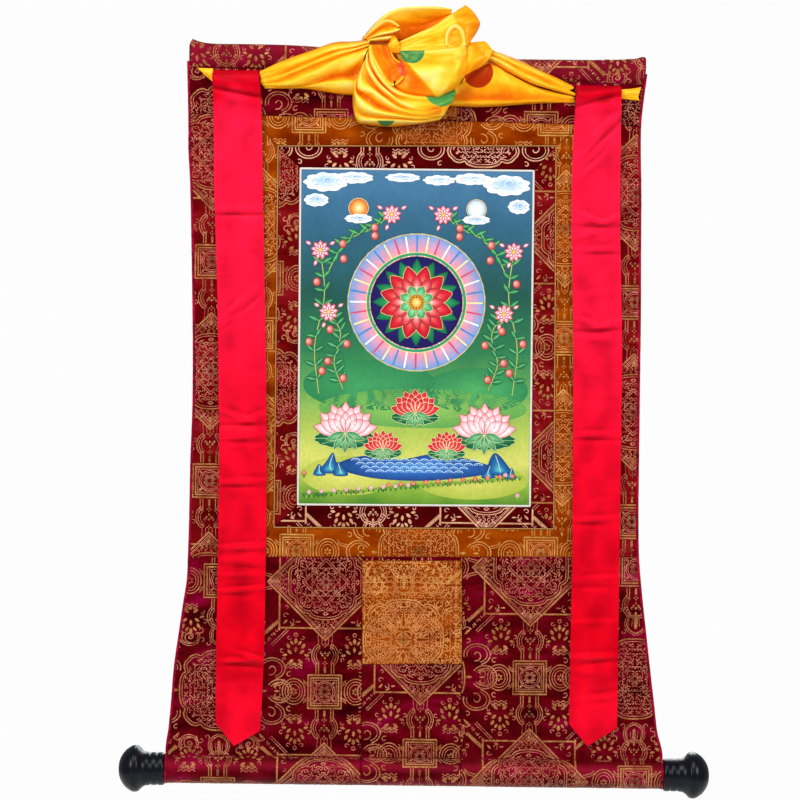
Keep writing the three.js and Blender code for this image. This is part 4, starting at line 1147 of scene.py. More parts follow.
inner_edge = inset(INNER_CORNERS, 0.8)
gold_edge = inset(INNER_CORNERS, -0.8)
heaven_panel = span_panel(
    "heaven_panel", top_seam, sleeve_back, edge_left, edge_right, [TOP_LINE[::-1]]
)
side_left = span_panel(
    "side_strip_left", bottom_seam, top_seam, edge_left, sloped(*LEFT_LINE),
    [TOP_LINE, BOTTOM_LINE[::-1], LEFT_LINE],
)
side_right = span_panel(
    "side_strip_right", bottom_seam, top_seam, sloped(*RIGHT_LINE), edge_right,
    [TOP_LINE, BOTTOM_LINE[::-1], RIGHT_LINE[::-1]],
)
cuts = {
    "left": (edge_left, upright(SEAMS["left"])),
    "middle": (upright(SEAMS["left"]), upright(SEAMS["right"])),
    "right": (upright(SEAMS["right"]), edge_right),
}
cut_lines = {side: [(x, 0), (x, -FAR * 3)] for side, x in SEAMS.items()}
earth_panels = [
    span_panel("earth_panel_left", hem_low, bottom_seam, *cuts["left"], [BOTTOM_LINE, cut_lines["left"]]),
    span_panel(
        "earth_panel_middle", hem_low, bottom_seam, *cuts["middle"],
        [BOTTOM_LINE, cut_lines["left"][::-1], cut_lines["right"]],
    ),
    span_panel(
        "earth_panel_right", hem_low, bottom_seam, *cuts["right"],
        [BOTTOM_LINE, cut_lines["right"][::-1]],
    ),
]
painting = strip_panel("painting", inset(PIPING_CORNERS, 3), pitch=5)
inner_borders = ring_panels("inner_border", PIPING_CORNERS, inner_edge)
gold_borders = ring_panels("gold_border", gold_edge, GOLD_CORNERS)
PATCH_MIDDLE = CLOTH / 2 + GAP + FINE_CLOTH / 2
patches = [
    strip_panel("heaven_patch", HEAVEN_CORNERS, PATCH_MIDDLE, FINE_CLOTH),
    strip_panel("door_patch", DOOR_CORNERS, PATCH_MIDDLE, FINE_CLOTH),
]


def cloth_piece(panel, material, slot):
    """The cloth of a panel, in a mesh that is finest at its seams."""
    across, up = panel.stops
    form = bmesh.new()

    def place(u, v):
        share_x, share_z = across[round(u * (len(across) - 1))], up[round(v * (len(up) - 1))]
        return panel.place(*panel.outline(share_x, share_z))

    crest = form.verts.layers.float.new("crest")
    # Painted light: a highlight where the satin turns, and painted shade at its seams and tucks
    for vert in grid(form, len(across) - 1, len(up) - 1, place):
        away = max(panel.from_seam(vert.co.x, vert.co.z), 0)
        vert[crest] = panel.gloss(vert.co) - SEAM_SHADE * max(0, 1 - away / SHADE_WIDTH)
    return piece(f"{panel.name}_cloth", form, material, slot, [panel.name], panel.thickness - THINNER)


grounds = [
    ([heaven_panel, *earth_panels], MAROON_GROUND, "brocade_maroon"),
    ([side_left, side_right, inner_borders[1], inner_borders[3]], MAROON_PAINTED_SHEEN_GROUND, "brocade_maroon"),
    (inner_borders[::2], DARK_GROUND, "brocade_maroon"),
    (gold_borders + patches, OCHRE_GROUND, "brocade_ochre"),
]
cloths = {}
for panels, ground, ground_slot in grounds:
    for panel in panels:
        cloths[panel.name] = (panel, cloth_piece(panel, ground, ground_slot))


# The woven figure, charted from its repeat

SUNK = 0.05  # gilt and paint start this far inside the face of the cloth
FIGURE_MARGIN = 0.5  # how far the figure ends before a seam
EDGE_MARGIN = 0.3  # before a long edge
HEM_MARGIN = 2  # and before a hem
PAINT_MARGIN = 0.4
CURL_TURN = 280.75  # how far a scroll winds, in degrees


def at_angle(x, z, reach, turn):
    """The point at a reach from another one, in a direction in degrees."""
    return x + reach * math.cos(math.radians(turn)), z + reach * math.sin(math.radians(turn))


def each(draw, form, *rows):
    """Draws one shape for each row of its values."""
    for values in rows:
        draw(form, *values)


def stroke(form, path, width, aside=0, tone=0, step=2.1):
    """A raised line of thread along path(share), moved aside from it, of a width that may vary."""
    rise, crest = form.verts.layers.float["rise"], form.verts.layers.float["crest"]
    stops = [path(i / 12) for i in range(13)]
    count = max(2, math.ceil(sum(math.dist(a, b) for a, b in zip(stops, stops[1:])) / step))
    spine = [(path(i / count), path(i / count - 0.01), path(i / count + 0.01)) for i in range(count + 1)]
    made = bmesh.ops.create_grid(form, x_segments=count, y_segments=2, size=0.5)["verts"]
    for vert in made:
        u, side = vert.co.x + 0.5, vert.co.y * 2
        (x, z), before, after = spine[round(u * count)]
        length = math.dist(before, after) or 1
        reach = side * (width(u) if callable(width) else width) / 2 + aside
        x += reach * (after[1] - before[1]) / length
        z -= reach * (after[0] - before[0]) / length
        vert.co = Vector((x, 0, z))
        vert[rise] = THREAD_RISE if abs(side) < 0.5 else THREAD_EDGE
        vert[crest] = tone
    return made


def curve(*points):
    """A smooth path through points, given as x and z, which runs straight on past its ends."""
    last = len(points) - 1

    def path(u):
        x, z = along(points, u)
        if not 0 <= u <= 1:
            (a, b), (c, d) = points[:2] if u < 0 else points[:-3:-1]
            over = (-u if u < 0 else u - 1) * last
            x, z = x + (a - c) * over, z + (b - d) * over
        return x, z

    return path


def arc(x, z, wide, high, start, end):
    """A path round part of an oval, between two angles in degrees."""

    def path(u):
        angle = math.radians(lerp(start, end, u))
        return x + wide * math.cos(angle), z + high * math.sin(angle)

    return path


def curl(form, x, z, size, turn, way=1, width=1.1, tone=0):
    """A small scroll that winds in from an angle."""

    def path(u):
        return at_angle(x, z, size * (1 - 0.75 * u), turn + way * CURL_TURN * u)

    stroke(form, path, width, 0, tone, 1.7)


def leaf(form, x, z, length, turn, width, tone=1):
    """A pointed leaf that grows from a point at an angle."""

    def across(u):
        return width * math.sin(math.pi * u) ** 0.7 if 0 < u < 1 else 0.1

    stroke(form, curve((x, z), at_angle(x, z, length, turn)), across, tone=tone)


def flower(form, x, z, reach, petals, turn=90, tone=1):
    for k in range(petals):
        angle = turn + 360 * k / petals
        leaf(form, *at_angle(x, z, reach * 0.25, angle), reach * 0.75, angle, reach * 0.5, tone)


def filigree(form, inside, reach, pitch):
    """Fine scrolls and leaves in a quarter of a medallion, mirrored across its diagonal."""
    for i in range(round(reach / pitch)):
        for k in range(i + 1):
            x, z = (i + 0.55 + 0.25 * (k % 2)) * pitch, (k + 0.5) * pitch
            for a, b, way in ((x, z, 1), (z, x, -1)):
                if inside(a, b):
                    curl(form, a, b, pitch * 0.47, 40 + 95 * (i + 2 * k) * way, way)
                    leaf(form, a + 0.3 * pitch, b + 0.3 * pitch, pitch * 0.55, 45 + 60 * way, 1.8, 0.3)


def star(form):
    """A quarter of the eight-pointed star, with its lobed medallion and the bands at its corner."""
    edge = curve((77.5, -0.5), (-0.5, 77.5))
    each(stroke, form, (edge, 2.5, 0, 1), (edge, 1.1, -3.4), (edge, 0.7, -5.2))
    for ends in (((61, 16.5), (61, 62)), ((62, 61), (16.5, 61))):
        stroke(form, curve(*ends), 2.4, tone=1)
    each(curl, form, (53, 45, 4, 200), (45, 53, 4, 250, -1), (52, 33, 3, 100))
    each(leaf, form, (50, 50, 8, 45, 3), (33, 53, 7, 0, 2.4, 0), (40, 56, 7, 20, 2.6))
    lobes = curve(
        (49.4, 6), (49, 14), (45.5, 19.5), (40.5, 22.5), (39.6, 28), (36.5, 34.5), (30, 39.5),
        (22.5, 42), (19.5, 45.5), (12, 48.6), (5, 49.6), (-1, 49.8),
    )
    each(stroke, form, (lobes, 1.7, 0, 1, 1.8), (lobes, 1.0, -3.2, 0, 1.8))
    each(stroke, form, (curve((49.4, 0), (49.4, 7)), 1.7, 0, 1), (curve((46.2, 0), (46.2, 7)), 1.0))
    for reach, wide in ((31, 1.0), (27.5, 1.0), (17, 0.9)):
        stroke(form, curve((reach + 0.3, -0.3), (-0.3, reach + 0.3)), wide)
    filigree(form, lambda x, z: math.hypot(x, z) < 43 and abs(x + z - 29) > 4 and x + z > 9, 42, 6.6)
    flower(form, 0, 0, 9, 8, 22.5, 0)
    for way in (1, -1):

        def turned(x, z, way=way):
            return (x, z) if way == 1 else (z, x)

        for x, z, size, turn in (
            (41, 0, 3.6, 270), (37, 6, 3, 60), (57, 3.4, 2.8, 180), (54, 8.6, 2.8, 300), (61.5, 3, 2.6, 90),
            (52.6, 3.2, 2.2, 0), (51.6, 13.5, 2.2, 200),
        ):
            curl(form, *turned(x, z), size, 45 + way * (turn - 45), way, tone=0.4)
        leaf(form, *turned(60, 0), 8.5, 45 - 45 * way, 4.4)
        leaf(form, *turned(56, 6), 10, 45 + 5 * way, 2.2, 0)
        stroke(form, curve(*(turned(*p) for p in ((66, 0), (64.6, 3), (61, 6), (59, 9)))), 1.2, tone=0.5)
    inner, outer = curve((61.5, 51.6), (83, 71)), curve((49.4, 63), (71, 84.5))
    each(stroke, form, (inner, 0.9, -1.8, 1), (inner, 0.9, 1.8, 1), (inner, 2.2, 0, 1))
    each(stroke, form, (outer, 1.0, -1.44), (outer, 1.0, 1.44))
    for reach in (62, 68, 74, 80):
        leaf(form, reach + 1, reach - 1, 5, 130, 2.2, 0.3)
        curl(form, reach + 2, reach + 3, 2.2, reach * 40, 1, 0.9)


def pavilion(form):
    """A quarter of the square panel between two vases, with sprays and ovals beside it."""
    for reach, width, tone in ((18.3, 2.2, 1), (15.2, 1.0, 0)):
        for ends in (((reach, -0.5), (reach, reach + 1)), ((reach + 1, reach), (-0.5, reach))):
            stroke(form, curve(*ends), width, tone=tone)
    each(stroke, form, (curve((-0.5, 22), (22.4, 22)), 2.2, 0, 1), (curve((22, -0.5), (22, 22.6)), 1.8, 0, 1))
    each(stroke, form, (arc(0, 0, 13.4, 13.4, -3, 93), 1.3), (arc(0, 0, 11, 11, -3, 93), 0.9))
    each(stroke, form, (curve((8.4, 24), (8.4, 35)), 1.3, 0, 1), (curve((11.8, 24), (11.8, 35)), 1.3, 0, 1))
    for reach, width in ((17.5, 1.3), (14.6, 1.0), (11.5, 0.7)):
        stroke(form, arc(0, 48, reach, reach, -52, 58), width, tone=0.4)
    each(curl, form, (4.6, 4.6, 2.4, 45), (9.5, 36.5, 3, 0), (9, 60.5, 3.2, 300, -1), (5, 52, 2.6, 200))
    each(flower, form, (0, 0, 9, 8, 22.5, 0.4), (0, 61.6, 3.6, 4), (0, 48, 5.2, 4))
    each(flower, form, (0, 37.6, 3.4, 4), (41, 0, 5.4, 6))
    leaf(form, 9.6, 9.6, 6, 45, 3.4)
    stroke(form, curve((0, 25), (0, 33)), 3, 0, 1)
    each(stroke, form, (curve((4, 62), (5, 75)), 0.7), (curve((8.6, 62), (9.6, 75)), 0.7))
    for x, z, length, turn, width in (
        (0, -2, 8, 90, 4.2), (5, -4, 8, 40, 4.4), (-5, -4, 8, 140, 4.4), (8, 3, 8, 60, 4.6),
        (-8, 3, 8, 120, 4.6), (3, -11, 8, 320, 4.4), (-3, -11, 8, 220, 4.4), (11, -5, 7, 350, 3.8),
        (-11, -5, 7, 190, 3.8), (3, 8, 7, 50, 3.8), (-3, 8, 7, 130, 3.8), (0, 9, 8, 90, 5),
        (0, -15, 6, 270, 2.6),
    ):
        leaf(form, 38.8 + x, 53.5 + z, length, turn, width)
    for x, z, size, turn in (
        (18, 1, 3.6, 240), (15, -11, 3.2, 300), (9, 18, 3.4, 200), (0, 22, 3.2, 270), (8, -18, 3, 60),
    ):
        for way in (1, -1):
            curl(form, 38.8 + way * x, 53.5 + z, size, 90 + way * (turn - 90), way)
    for shift in (0, 3.4):
        wave = [(30 + 3.7 * i, 31.5 + shift + (1.3 if i % 2 else -1.3)) for i in range(7)]
        stroke(form, curve(*wave), 1.2, tone=0.4)
    for x in (34, 41, 48):
        stroke(form, curve((x - 2, 36.8), (x + 2, 36.8)), 2.2, tone=1)
    for wide, high, width in ((15, 17, 1.5), (11.4, 13.2, 1.2), (8.2, 9.6, 1.0)):
        stroke(form, arc(41, 0, wide, high, -4, 184), width, tone=0.6)
    for shift in (0, 3):
        stroke(form, curve((20, 8 + shift), (24, 8.6 + shift), (28.5, 12.5 + shift)), 1.2, tone=0.6)
        stroke(form, curve((53.5, 12.5 + shift), (58, 8.6 + shift), (68, 6 + shift)), 1.2, tone=0.6)


def medallion(form):
    """A quarter of the large lobed medallion, with cloud scrolls round it."""
    lobes = [(53, -1), (52.4, 11), (49.5, 20.5), (45.4, 24.6), (47.2, 31), (45.4, 37.6), (41.6, 41.6)]
    lobes = curve(*lobes, *((z, x) for x, z in lobes[-2::-1]))
    each(stroke, form, (lobes, 2.0, 0, 1, 1.8), (lobes, 1.2, -3.4, 0, 1.8))
    filigree(form, lambda x, z: 9 < math.hypot(x, z) < 48, 48, 5.8)
    flower(form, 0, 0, 8, 8, 22.5, 0.4)
    heart = curve((-0.4, 60), (7, 64), (11.5, 71), (10, 79), (5, 82), (0.5, 78), (2, 73))
    each(stroke, form, (heart, 1.5, 0, 0.6), (heart, 1.0, 2.6, 0.6))
    curl(form, 16, 62, 4, 120)
    for values in (
        (40, 71, 8.6, 250), (40, 71, 6, 70), (26, 80, 5, 300, -1), (24, 66, 4.4, 20), (56, 62, 5, 160, -1),
        (57, 49, 4, 240), (52, 78, 4.6, 0, -1), (92, 22, 4.4, 60), (12, 92, 3.4, 0),
    ):
        curl(form, *values, width=1.5, tone=0.5)
    for reach in (9.5, 12):
        stroke(form, arc(40, 71, reach + 1, reach, 150, 400), 1.2, tone=0.4)
    for reach, width in ((16.6, 1.7), (12.8, 1.2)):
        stroke(form, arc(79, 0, reach, reach * 0.92, -3, 148), width, tone=0.5)
        stroke(form, arc(69, 30, reach * 1.05, reach * 0.84, -72, 196), width, tone=0.5)
    each(curl, form, (75, 5.4, 5.4, 330, 1, 1.4, 0.5), (68, 29, 8, 250, 1, 1.5, 0.5))
    each(leaf, form, (0, 66, 9, 90, 5), (0, 83, 6, 90, 3.4), (54.5, 0, 8, 0, 4), (80, 0, 8, 180, 3))
    each(leaf, form, (52, 56, 10, 45, 3), (30, 60, 8, 100, 2.6))


def field(form):
    """A quarter of a plain field of fine scrolls, which fills the ground of the patches."""
    filigree(form, lambda x, z: max(x, z) < 71, 71, 6.4)


def motif(draw):
    """The mesh of a whole motif from the drawing of its upper right quarter."""
    form = bmesh.new()
    form.verts.layers.float.new("rise")
    form.verts.layers.float.new("crest")
    draw(form)
    for axis in (0, 2):
        half = bmesh.ops.duplicate(form, geom=form.verts[:] + form.edges[:] + form.faces[:])["geom"]
        for vert in (item for item in half if isinstance(item, bmesh.types.BMVert)):
            vert.co[axis] = -vert.co[axis]
    for face in form.faces:
        face.normal_update()
        if face.normal.y > 0:
            face.normal_flip()
    mesh = bpy.data.meshes.new(draw.__name__)
    form.to_mesh(mesh)
    form.free()
    return mesh


REPEAT = (278, 290)
MOTIFS = [(motif(star), (0, 0), 90), (motif(pavilion), (0, 145), 76), (motif(pavilion), (139, 0), 76)]
MOTIFS.append((motif(medallion), (139, 145), 97))


def cut_and_lay(form, panel, outside):
    """Cuts a flat drawing off where outside(x, z) is above nought, and lays it on its panel."""
    for vert in form.verts:
        vert.co.y = outside(vert.co.x, vert.co.z)
    drawing = form.verts[:] + form.edges[:] + form.faces[:]
    bmesh.ops.bisect_plane(form, geom=drawing, plane_co=(0, 0, 0), plane_no=(0, 1, 0), clear_outer=True)
    rise = form.verts.layers.float["rise"]
    for vert in form.verts:
        vert.co = panel.place(vert.co.x, vert.co.z, panel.thickness / 2 - SUNK + vert[rise])


def figure(panel, middle, material, slot, beyond=None, wide=REPEAT[0], motifs=MOTIFS):
    """The part of the repeat that falls on a panel, cut off at its seams and laid on its cloth."""
    form = bmesh.new()
    left, right, low, high = panel.box
    for mesh, (shift_x, shift_z), reach in motifs:
        shift_x *= wide / REPEAT[0]
        first = [
            math.ceil((edge - reach - start - shift) / step)
            for edge, start, shift, step in zip((left, low), middle, (shift_x, shift_z), (wide, REPEAT[1]))
        ]
        x = middle[0] + shift_x + first[0] * wide
        while x < right + reach:
            z = middle[1] + shift_z + first[1] * REPEAT[1]
            while z < high + reach:
                before = len(form.verts)
                form.from_mesh(mesh)
                form.verts.ensure_lookup_table()
                bmesh.ops.translate(form, verts=form.verts[before:], vec=(x, 0, z))
                z += REPEAT[1]
            x += wide

    def outside(x, z):
        out = FIGURE_MARGIN - panel.from_seam(x, z)
        return max(out, beyond(x, z)) if beyond and out < 3 else out

    cut_and_lay(form, panel, outside)
    return piece(f"{panel.name}_figure", form, material, slot)


def past_edges(low, high):
    """How far a point lies past the long edges or past the ends of the cloth."""

    def past(x, z):
        aside = max(edge_left(z) - x, x - edge_right(z)) + EDGE_MARGIN
        return max(aside, low(x) - z + HEM_MARGIN, z - high(x) + HEM_MARGIN)

    return past


figures = {}
for panel, middle, beyond in (
    (heaven_panel, (-115.9, 47.2), past_edges(lambda x: -FAR, sleeve_back)),
    (side_left, (-271, -134.2), past_edges(lambda x: -FAR * 3, lambda x: FAR)),
    (side_right, (288.5, -181.6), past_edges(lambda x: -FAR * 3, lambda x: FAR)),
    (earth_panels[0], (-115.2, -701.4), past_edges(hem_low, lambda x: FAR)),
    (earth_panels[1], (11.6, -785.3), past_edges(hem_low, lambda x: FAR)),
    (earth_panels[2], (155.9, -679.5), past_edges(hem_low, lambda x: FAR)),
):
    figures[panel.name] = figure(panel, middle, GOLD_ON_MAROON, "brocade_maroon", beyond)
# Where the repeat starts on each strip, and its width there
STRIP_REPEATS = [
    ((-145, -229.9), 325), ((196, -229.9), 278), ((-154.6, -806), 323), ((-208, -229.9), 278),
    ((-64, -242), 300), ((-64, -242), 278), ((96, -560), 300), ((-60, -300), 278),
]
for panel, (middle, wide) in zip(gold_borders + inner_borders, STRIP_REPEATS):
    thread = GOLD_ON_DARK if panel in inner_borders[::2] else GOLD_ON_MAROON
    ground = (GOLD_ON_OCHRE, "brocade_ochre") if panel in gold_borders else (thread, "brocade_maroon")
    figures[panel.name] = figure(panel, middle, *ground, wide=wide)
FIELD = motif(field)
dense = MOTIFS + [(FIELD, shift, 72) for shift in ((0, 0), (139, 0), (0, 145), (139, 145))]
for panel, middle in zip(patches, [(-120, -230), (-151, -921)]):
    figures[panel.name] = figure(panel, middle, GOLD_ON_OCHRE, "brocade_ochre", motifs=dense)


# The canvas: an invented garden and pond, in mineral colours and at the scale of the picture

SKY = [
    (-150, "#46779c"), (-230, "#2f607c"), (-320, "#1d5248"), (-400, "#2c7a4c"), (-450, "#5fa050"),
    (-500, "#a9bf52"), (-545, "#cfcf66"), (-575, "#86ab3a"), (-600, "#4d8526"),
]


def blend(stops, place):
    """The linear colour at a place along rising or falling stops."""
    stops = sorted(stops)
    place = min(max(place, stops[0][0]), stops[-1][0])
    for (low, first), (high, second) in zip(stops, stops[1:]):
        if place <= high:
            share = (place - low) / (high - low)
            return tuple(lerp(a, b, share) for a, b in zip(linear(first), linear(second)))


canvas = cloth_piece(painting, PAINTED_CANVAS, "painted_canvas")
canvas.data.materials.append(BARE_CANVAS)
canvas.modifiers["thickness"].material_offset = 1  # its back
cloths["painting"] = (painting, canvas)
ground_coat = canvas.data.attributes.new("paint", "FLOAT_COLOR", "POINT")
for vert, coat in zip(canvas.data.vertices, ground_coat.data):
    coat.color = blend(SKY, vert.co.z / MM + 14 * noise.noise(Vector((vert.co.x / MM / 40, 0, 5))))

LAYER = 0.07  # each coat of the picture lies this far above the one under it, in mm


def fill(form, level, path, colours, middle=None):
    """A painted shape inside a closed path, shaded from its heart to its rim."""
    rise, coat = form.verts.layers.float["rise"], form.verts.layers.float_color["paint"]
    rim = [path(i / 24) for i in range(24)]
    x, z = middle or (sum(p[0] for p in rim) / 24, sum(p[1] for p in rim) / 24)
    girth = sum(math.dist(a, b) for a, b in zip(rim, rim[1:] + rim[:1]))
    rings, count = max(1, round(girth / 24)), max(10, round(girth / 3.6))
    edge = [path((i / count) % 1) for i in range(count + 1)]
    stops = [(i / (len(colours) - 1), colour) for i, colour in enumerate(colours)]
    coats = [blend(stops, i / rings) for i in range(rings + 1)]
    for vert in bmesh.ops.create_grid(form, x_segments=count, y_segments=rings, size=0.5)["verts"]:
        u, v = vert.co.x + 0.5, vert.co.y + 0.5
        edge_x, edge_z = edge[round(u * count)]
        vert.co = Vector((lerp(x, edge_x, v), 0, lerp(z, edge_z, v)))
        vert[rise] = SUNK + LAYER * level
        vert[coat] = coats[round(v * rings)]


def line(form, level, path, width, colour, step=3.0):
    """A painted line, raised a little along its middle."""
    rise, coat = form.verts.layers.float["rise"], form.verts.layers.float_color["paint"]
    for vert in stroke(form, path, width, step=step):
        vert[rise] = SUNK + LAYER * level + (0.03 if vert[rise] > 0 else 0)
        vert[coat] = linear(colour)


def loop(*points):
    """A smooth closed path through points."""
    ring = [*points[-2:], *points, *points[:2]]
    return lambda u: along(ring, (2 + (u % 1) * len(points)) / (len(ring) - 1))


def lobed(x, z, wide, high, lobes, depth, turn=0):
    """A closed oval whose rim is scalloped."""

    def path(u):
        angle = 2 * math.pi * u + math.radians(turn)
        reach = 1 - depth + depth * abs(math.sin(lobes * angle / 2))
        return x + wide * reach * math.cos(angle), z + high * reach * math.sin(angle)

    return path


def petal(x, z, length, width, turn, full=0.8):
    """A closed pointed petal that grows from a point at an angle."""
    right, up = math.cos(math.radians(turn)), math.sin(math.radians(turn))

    def path(u):
        u %= 1
        t, side = (2 * u, 0.5) if u < 0.5 else (2 - 2 * u, -0.5)
        far, out = t * length, side * width * math.sin(math.pi * t**full)
        return x + far * right - out * up, z + far * up + out * right

    return path


def leaves(form, level, x, z, size, turns, colours, vein):
    for turn in turns:
        shape = petal(x, z, size, size * 0.46, turn)
        fill(form, level, shape, colours)
        line(form, level + 1, curve((x, z), at_angle(x, z, 0.86 * size, turn)), 0.5, vein)


def blossom(form, level, x, z, size, petals, colours, edge, heart):
    """A round flower in two rows of petals."""
    for row, (reach, shift) in enumerate(((size, 0), (size * 0.68, 180 / petals))):
        for k in range(petals):
            shape = petal(x, z, reach, reach * 4.4 / petals, 90 + shift + 360 * k / petals, 1.3)
            fill(form, level + row, shape, colours)
            line(form, level + row + 0.5, shape, 0.5, edge)
    fill(form, level + 2, lobed(x, z, size * 0.22, size * 0.22, 8, 0.1), heart)


def lotus(form, level, x, z, size, colours, edge):
    """A lotus seen from the side: three rows of petals that open upwards."""
    rows = ((7, 150, 1, 0.36), (6, 124, 0.86, 0.36), (5, 96, 0.7, 0.34))
    for row, (count, spread, reach, wide) in enumerate(rows):
        for k in range(count):
            turn = 90 + spread * (k / (count - 1) - 0.5)
            shape = petal(x, z, size * reach, size * wide, turn, 1.25)
            fill(form, level + row, shape, colours)
            line(form, level + row + 0.5, shape, 0.55, edge)
    for k in range(5):
        shape = petal(x, z + size * 0.05, size * 0.62, size * 0.24, 200 + 35 * k)
        fill(form, level + 3, shape, ["#7fc48c", "#1f7d50"])
        line(form, level + 3.5, shape, 0.5, "#d7e3a0")


def cloud(form, level, x, z, wide, high, shades, turn=0):
    fill(form, level, lobed(x, z, wide, high, 9, 0.16, turn), shades, (x, z + high * 0.3))
    for shift, reach in ((-0.45, 0.3), (0.1, 0.36), (0.55, 0.26)):
        coil = arc(x + wide * shift, z + high * 0.1, wide * reach * 0.55, high * reach, 20, 300)
        line(form, level + 1, coil, 0.9, "#f3f8ff")
        line(form, level + 1, lambda u, c=coil: (c(u)[0] + 1, c(u)[1] - 1), 0.6, "#5f8cc4")


def spray(form, level, points, side):
    """A branch with leaves on both sides, fruits and a flower at its end."""
    stem = curve(*points)
    line(form, level, stem, 2.2, "#5a7d3a")
    line(form, level + 0.4, stem, 0.8, "#b9cf7a")
    for i in range(9):
        x, z = stem(0.1 + 0.1 * i)
        lean = 90 + side * (30 + 14 * (i % 3))
        turns = (lean, lean - side * 110)
        leaves(form, level + 1 + i % 3, x, z, 17 - i % 4, turns, ["#39a568", "#0d5c38"], "#a5d998")
        if i % 2:
            x += 9 * side * (-1 if i % 4 == 1 else 1)
            z -= 7
            fruit = lobed(x, z, 5.4, 5.8, 2, 0.06)
            fill(form, level + 5, fruit, ["#ffb4a0", "#e5323c", "#a80f22"], (x - 1.5, z + 2))
            line(form, level + 5.5, arc(x, z, 3, 3.2, 100, 200), 0.5, "#ffe9dc")
    x, z = points[-1]
    heart = ["#ffe27a", "#e09a20"]
    blossom(form, level + 6, x, z, 13, 9, ["#ffffff", "#ffd9dc", "#e2476a"], "#b01238", heart)
    for turn in (30, 150, 250):
        shape = petal(*at_angle(x, z, 14, turn), 9, 5, turn)
        fill(form, level + 5, shape, ["#ffffff", "#f2a6b4", "#d4224a"])


def wheel(form, level, x, z):
    """The large rosette of lotus petals in coloured rings."""
    fill(form, level, lobed(x, z, 92, 92, 36, 0.035), ["#1d6b54", "#d8ecc0", "#f6d95e", "#f09aa8", "#4f9ed8"])
    for k in range(36):
        ray = curve(at_angle(x, z, 58, 10 * k), at_angle(x, z, 88, 10 * k))
        line(form, level + 1, ray, 2.2, ("#f7e9a0", "#3f86c8", "#f2f6f0", "#d9466a")[k % 4])
    for reach, width, colour in ((90.5, 1.2, "#e8c060"), (64, 3.4, "#2a9c6a"), (66.4, 1.0, "#f0d890")):
        line(form, level + 2, arc(x, z, reach, reach, 0, 360), width, colour)
    fill(form, level + 3, lobed(x, z, 61, 61, 2, 0), ["#3a2f9c", "#241c74", "#171050"])
    for row, (count, reach, wide, colours) in enumerate((
        (16, 58, 17, ["#2fae6a", "#0e6a40"]), (12, 50, 20, ["#ff8a70", "#e02438", "#a80c24"]),
        (12, 37, 15, ["#ffd9c8", "#f0525c", "#c0142c"]), (8, 24, 13, ["#8fe0a0", "#178a50"]),
    )):
        for k in range(count):
            shape = petal(x, z, reach, wide, 90 + 360 * (k + 0.5 * (row % 2)) / count, 1.4)
            fill(form, level + 4 + row, shape, colours)
            line(form, level + 4.5 + row, shape, 0.6, "#f0cf80" if row % 2 else "#0c4a34")
    fill(form, level + 8, lobed(x, z, 11, 11, 12, 0.12), ["#fff0a0", "#e8b030", "#b87818"])
    for k in range(12):
        spot = lobed(*at_angle(x, z, 7.2, 30 * k), 1.1, 1.1, 2, 0)
        fill(form, level + 9, spot, ["#c02030", "#8a1020"])


def pond(form, level):
    """Rows of waves with foam, between rocks."""
    shore = loop(
        (-104, -548), (-70, -534), (-20, -538), (30, -530), (84, -540), (108, -552), (60, -562), (0, -566),
        (-62, -562),
    )
    fill(form, level, shore, ["#4f93cf", "#2b62b0", "#15407e"])
    for row in range(4):
        for k in range(-6, 7):
            x, z = 13 * k + 6.5 * (row % 2), -541 - 5 * row
            if abs(x) < 92 - 7 * row:
                line(form, level + 1, arc(x, z, 6, 4, 15, 165), 1.0, "#bfe0f6")
                line(form, level + 1, arc(x, z, 3.4, 2.2, 15, 165), 0.7, "#7fb6e4")
    for x, z, tall, lean in (
        (-112, -556, 26, 4), (-98, -560, 18, -3), (112, -556, 28, -5), (97, -561, 17, 3),
        (-126, -560, 15, 0), (127, -561, 14, 2),
    ):
        rock = loop(
            (x - tall * 0.5, z), (x - tall * 0.3 + lean, z + tall * 0.6), (x + lean, z + tall),
            (x + tall * 0.34, z + tall * 0.5), (x + tall * 0.55, z),
        )
        vein = curve((x + lean, z + tall * 0.9), (x, z + tall * 0.4), (x + 2, z + 2))
        fill(form, level + 2, rock, ["#5fc0c0", "#1f6fa6", "#123c7a"], (x, z + tall * 0.2))
        line(form, level + 3, vein, 0.7, "#cfe9d8")


def hills(form):
    for x, z, wide, high, shades in (
        (-60, -440, 120, 34, ["#3f9a5c", "#2a7e4c"]), (80, -446, 104, 30, ["#4aa45c", "#2f8450"]),
        (10, -470, 150, 26, ["#8fbf5a", "#5fa24e"]), (-86, -560, 80, 26, ["#d8d46c", "#b3bf4c"]),
        (76, -566, 86, 24, ["#d2d064", "#a8b844"]),
    ):
        wide = min(wide, 150 - abs(x))
        fill(form, 0, lobed(x, z, wide, high, 2, 0.02), shades)


BLUE_CLOUD, DEEP_CLOUD = ["#8fb8ea", "#c7ddf6", "#ffffff"], ["#7fa9e0", "#c7ddf6", "#ffffff"]
PALE_CLOUD, SOFT_CLOUD = ["#a8c8f0", "#e4effc", "#ffffff"], ["#8fb8ea", "#dbe8f8", "#ffffff"]
CLOUDS = [
    (-122, -172, 30, 13, BLUE_CLOUD, 10), (-84, -166, 26, 8, PALE_CLOUD, 0),
    (-134, -196, 17, 9, DEEP_CLOUD, 30), (118, -174, 32, 14, BLUE_CLOUD, 0),
    (72, -166, 26, 8, PALE_CLOUD, 20), (134, -202, 15, 10, DEEP_CLOUD, 0),
    (-20, -165, 24, 6, SOFT_CLOUD, 0), (28, -168, 22, 7, SOFT_CLOUD, 14),
]


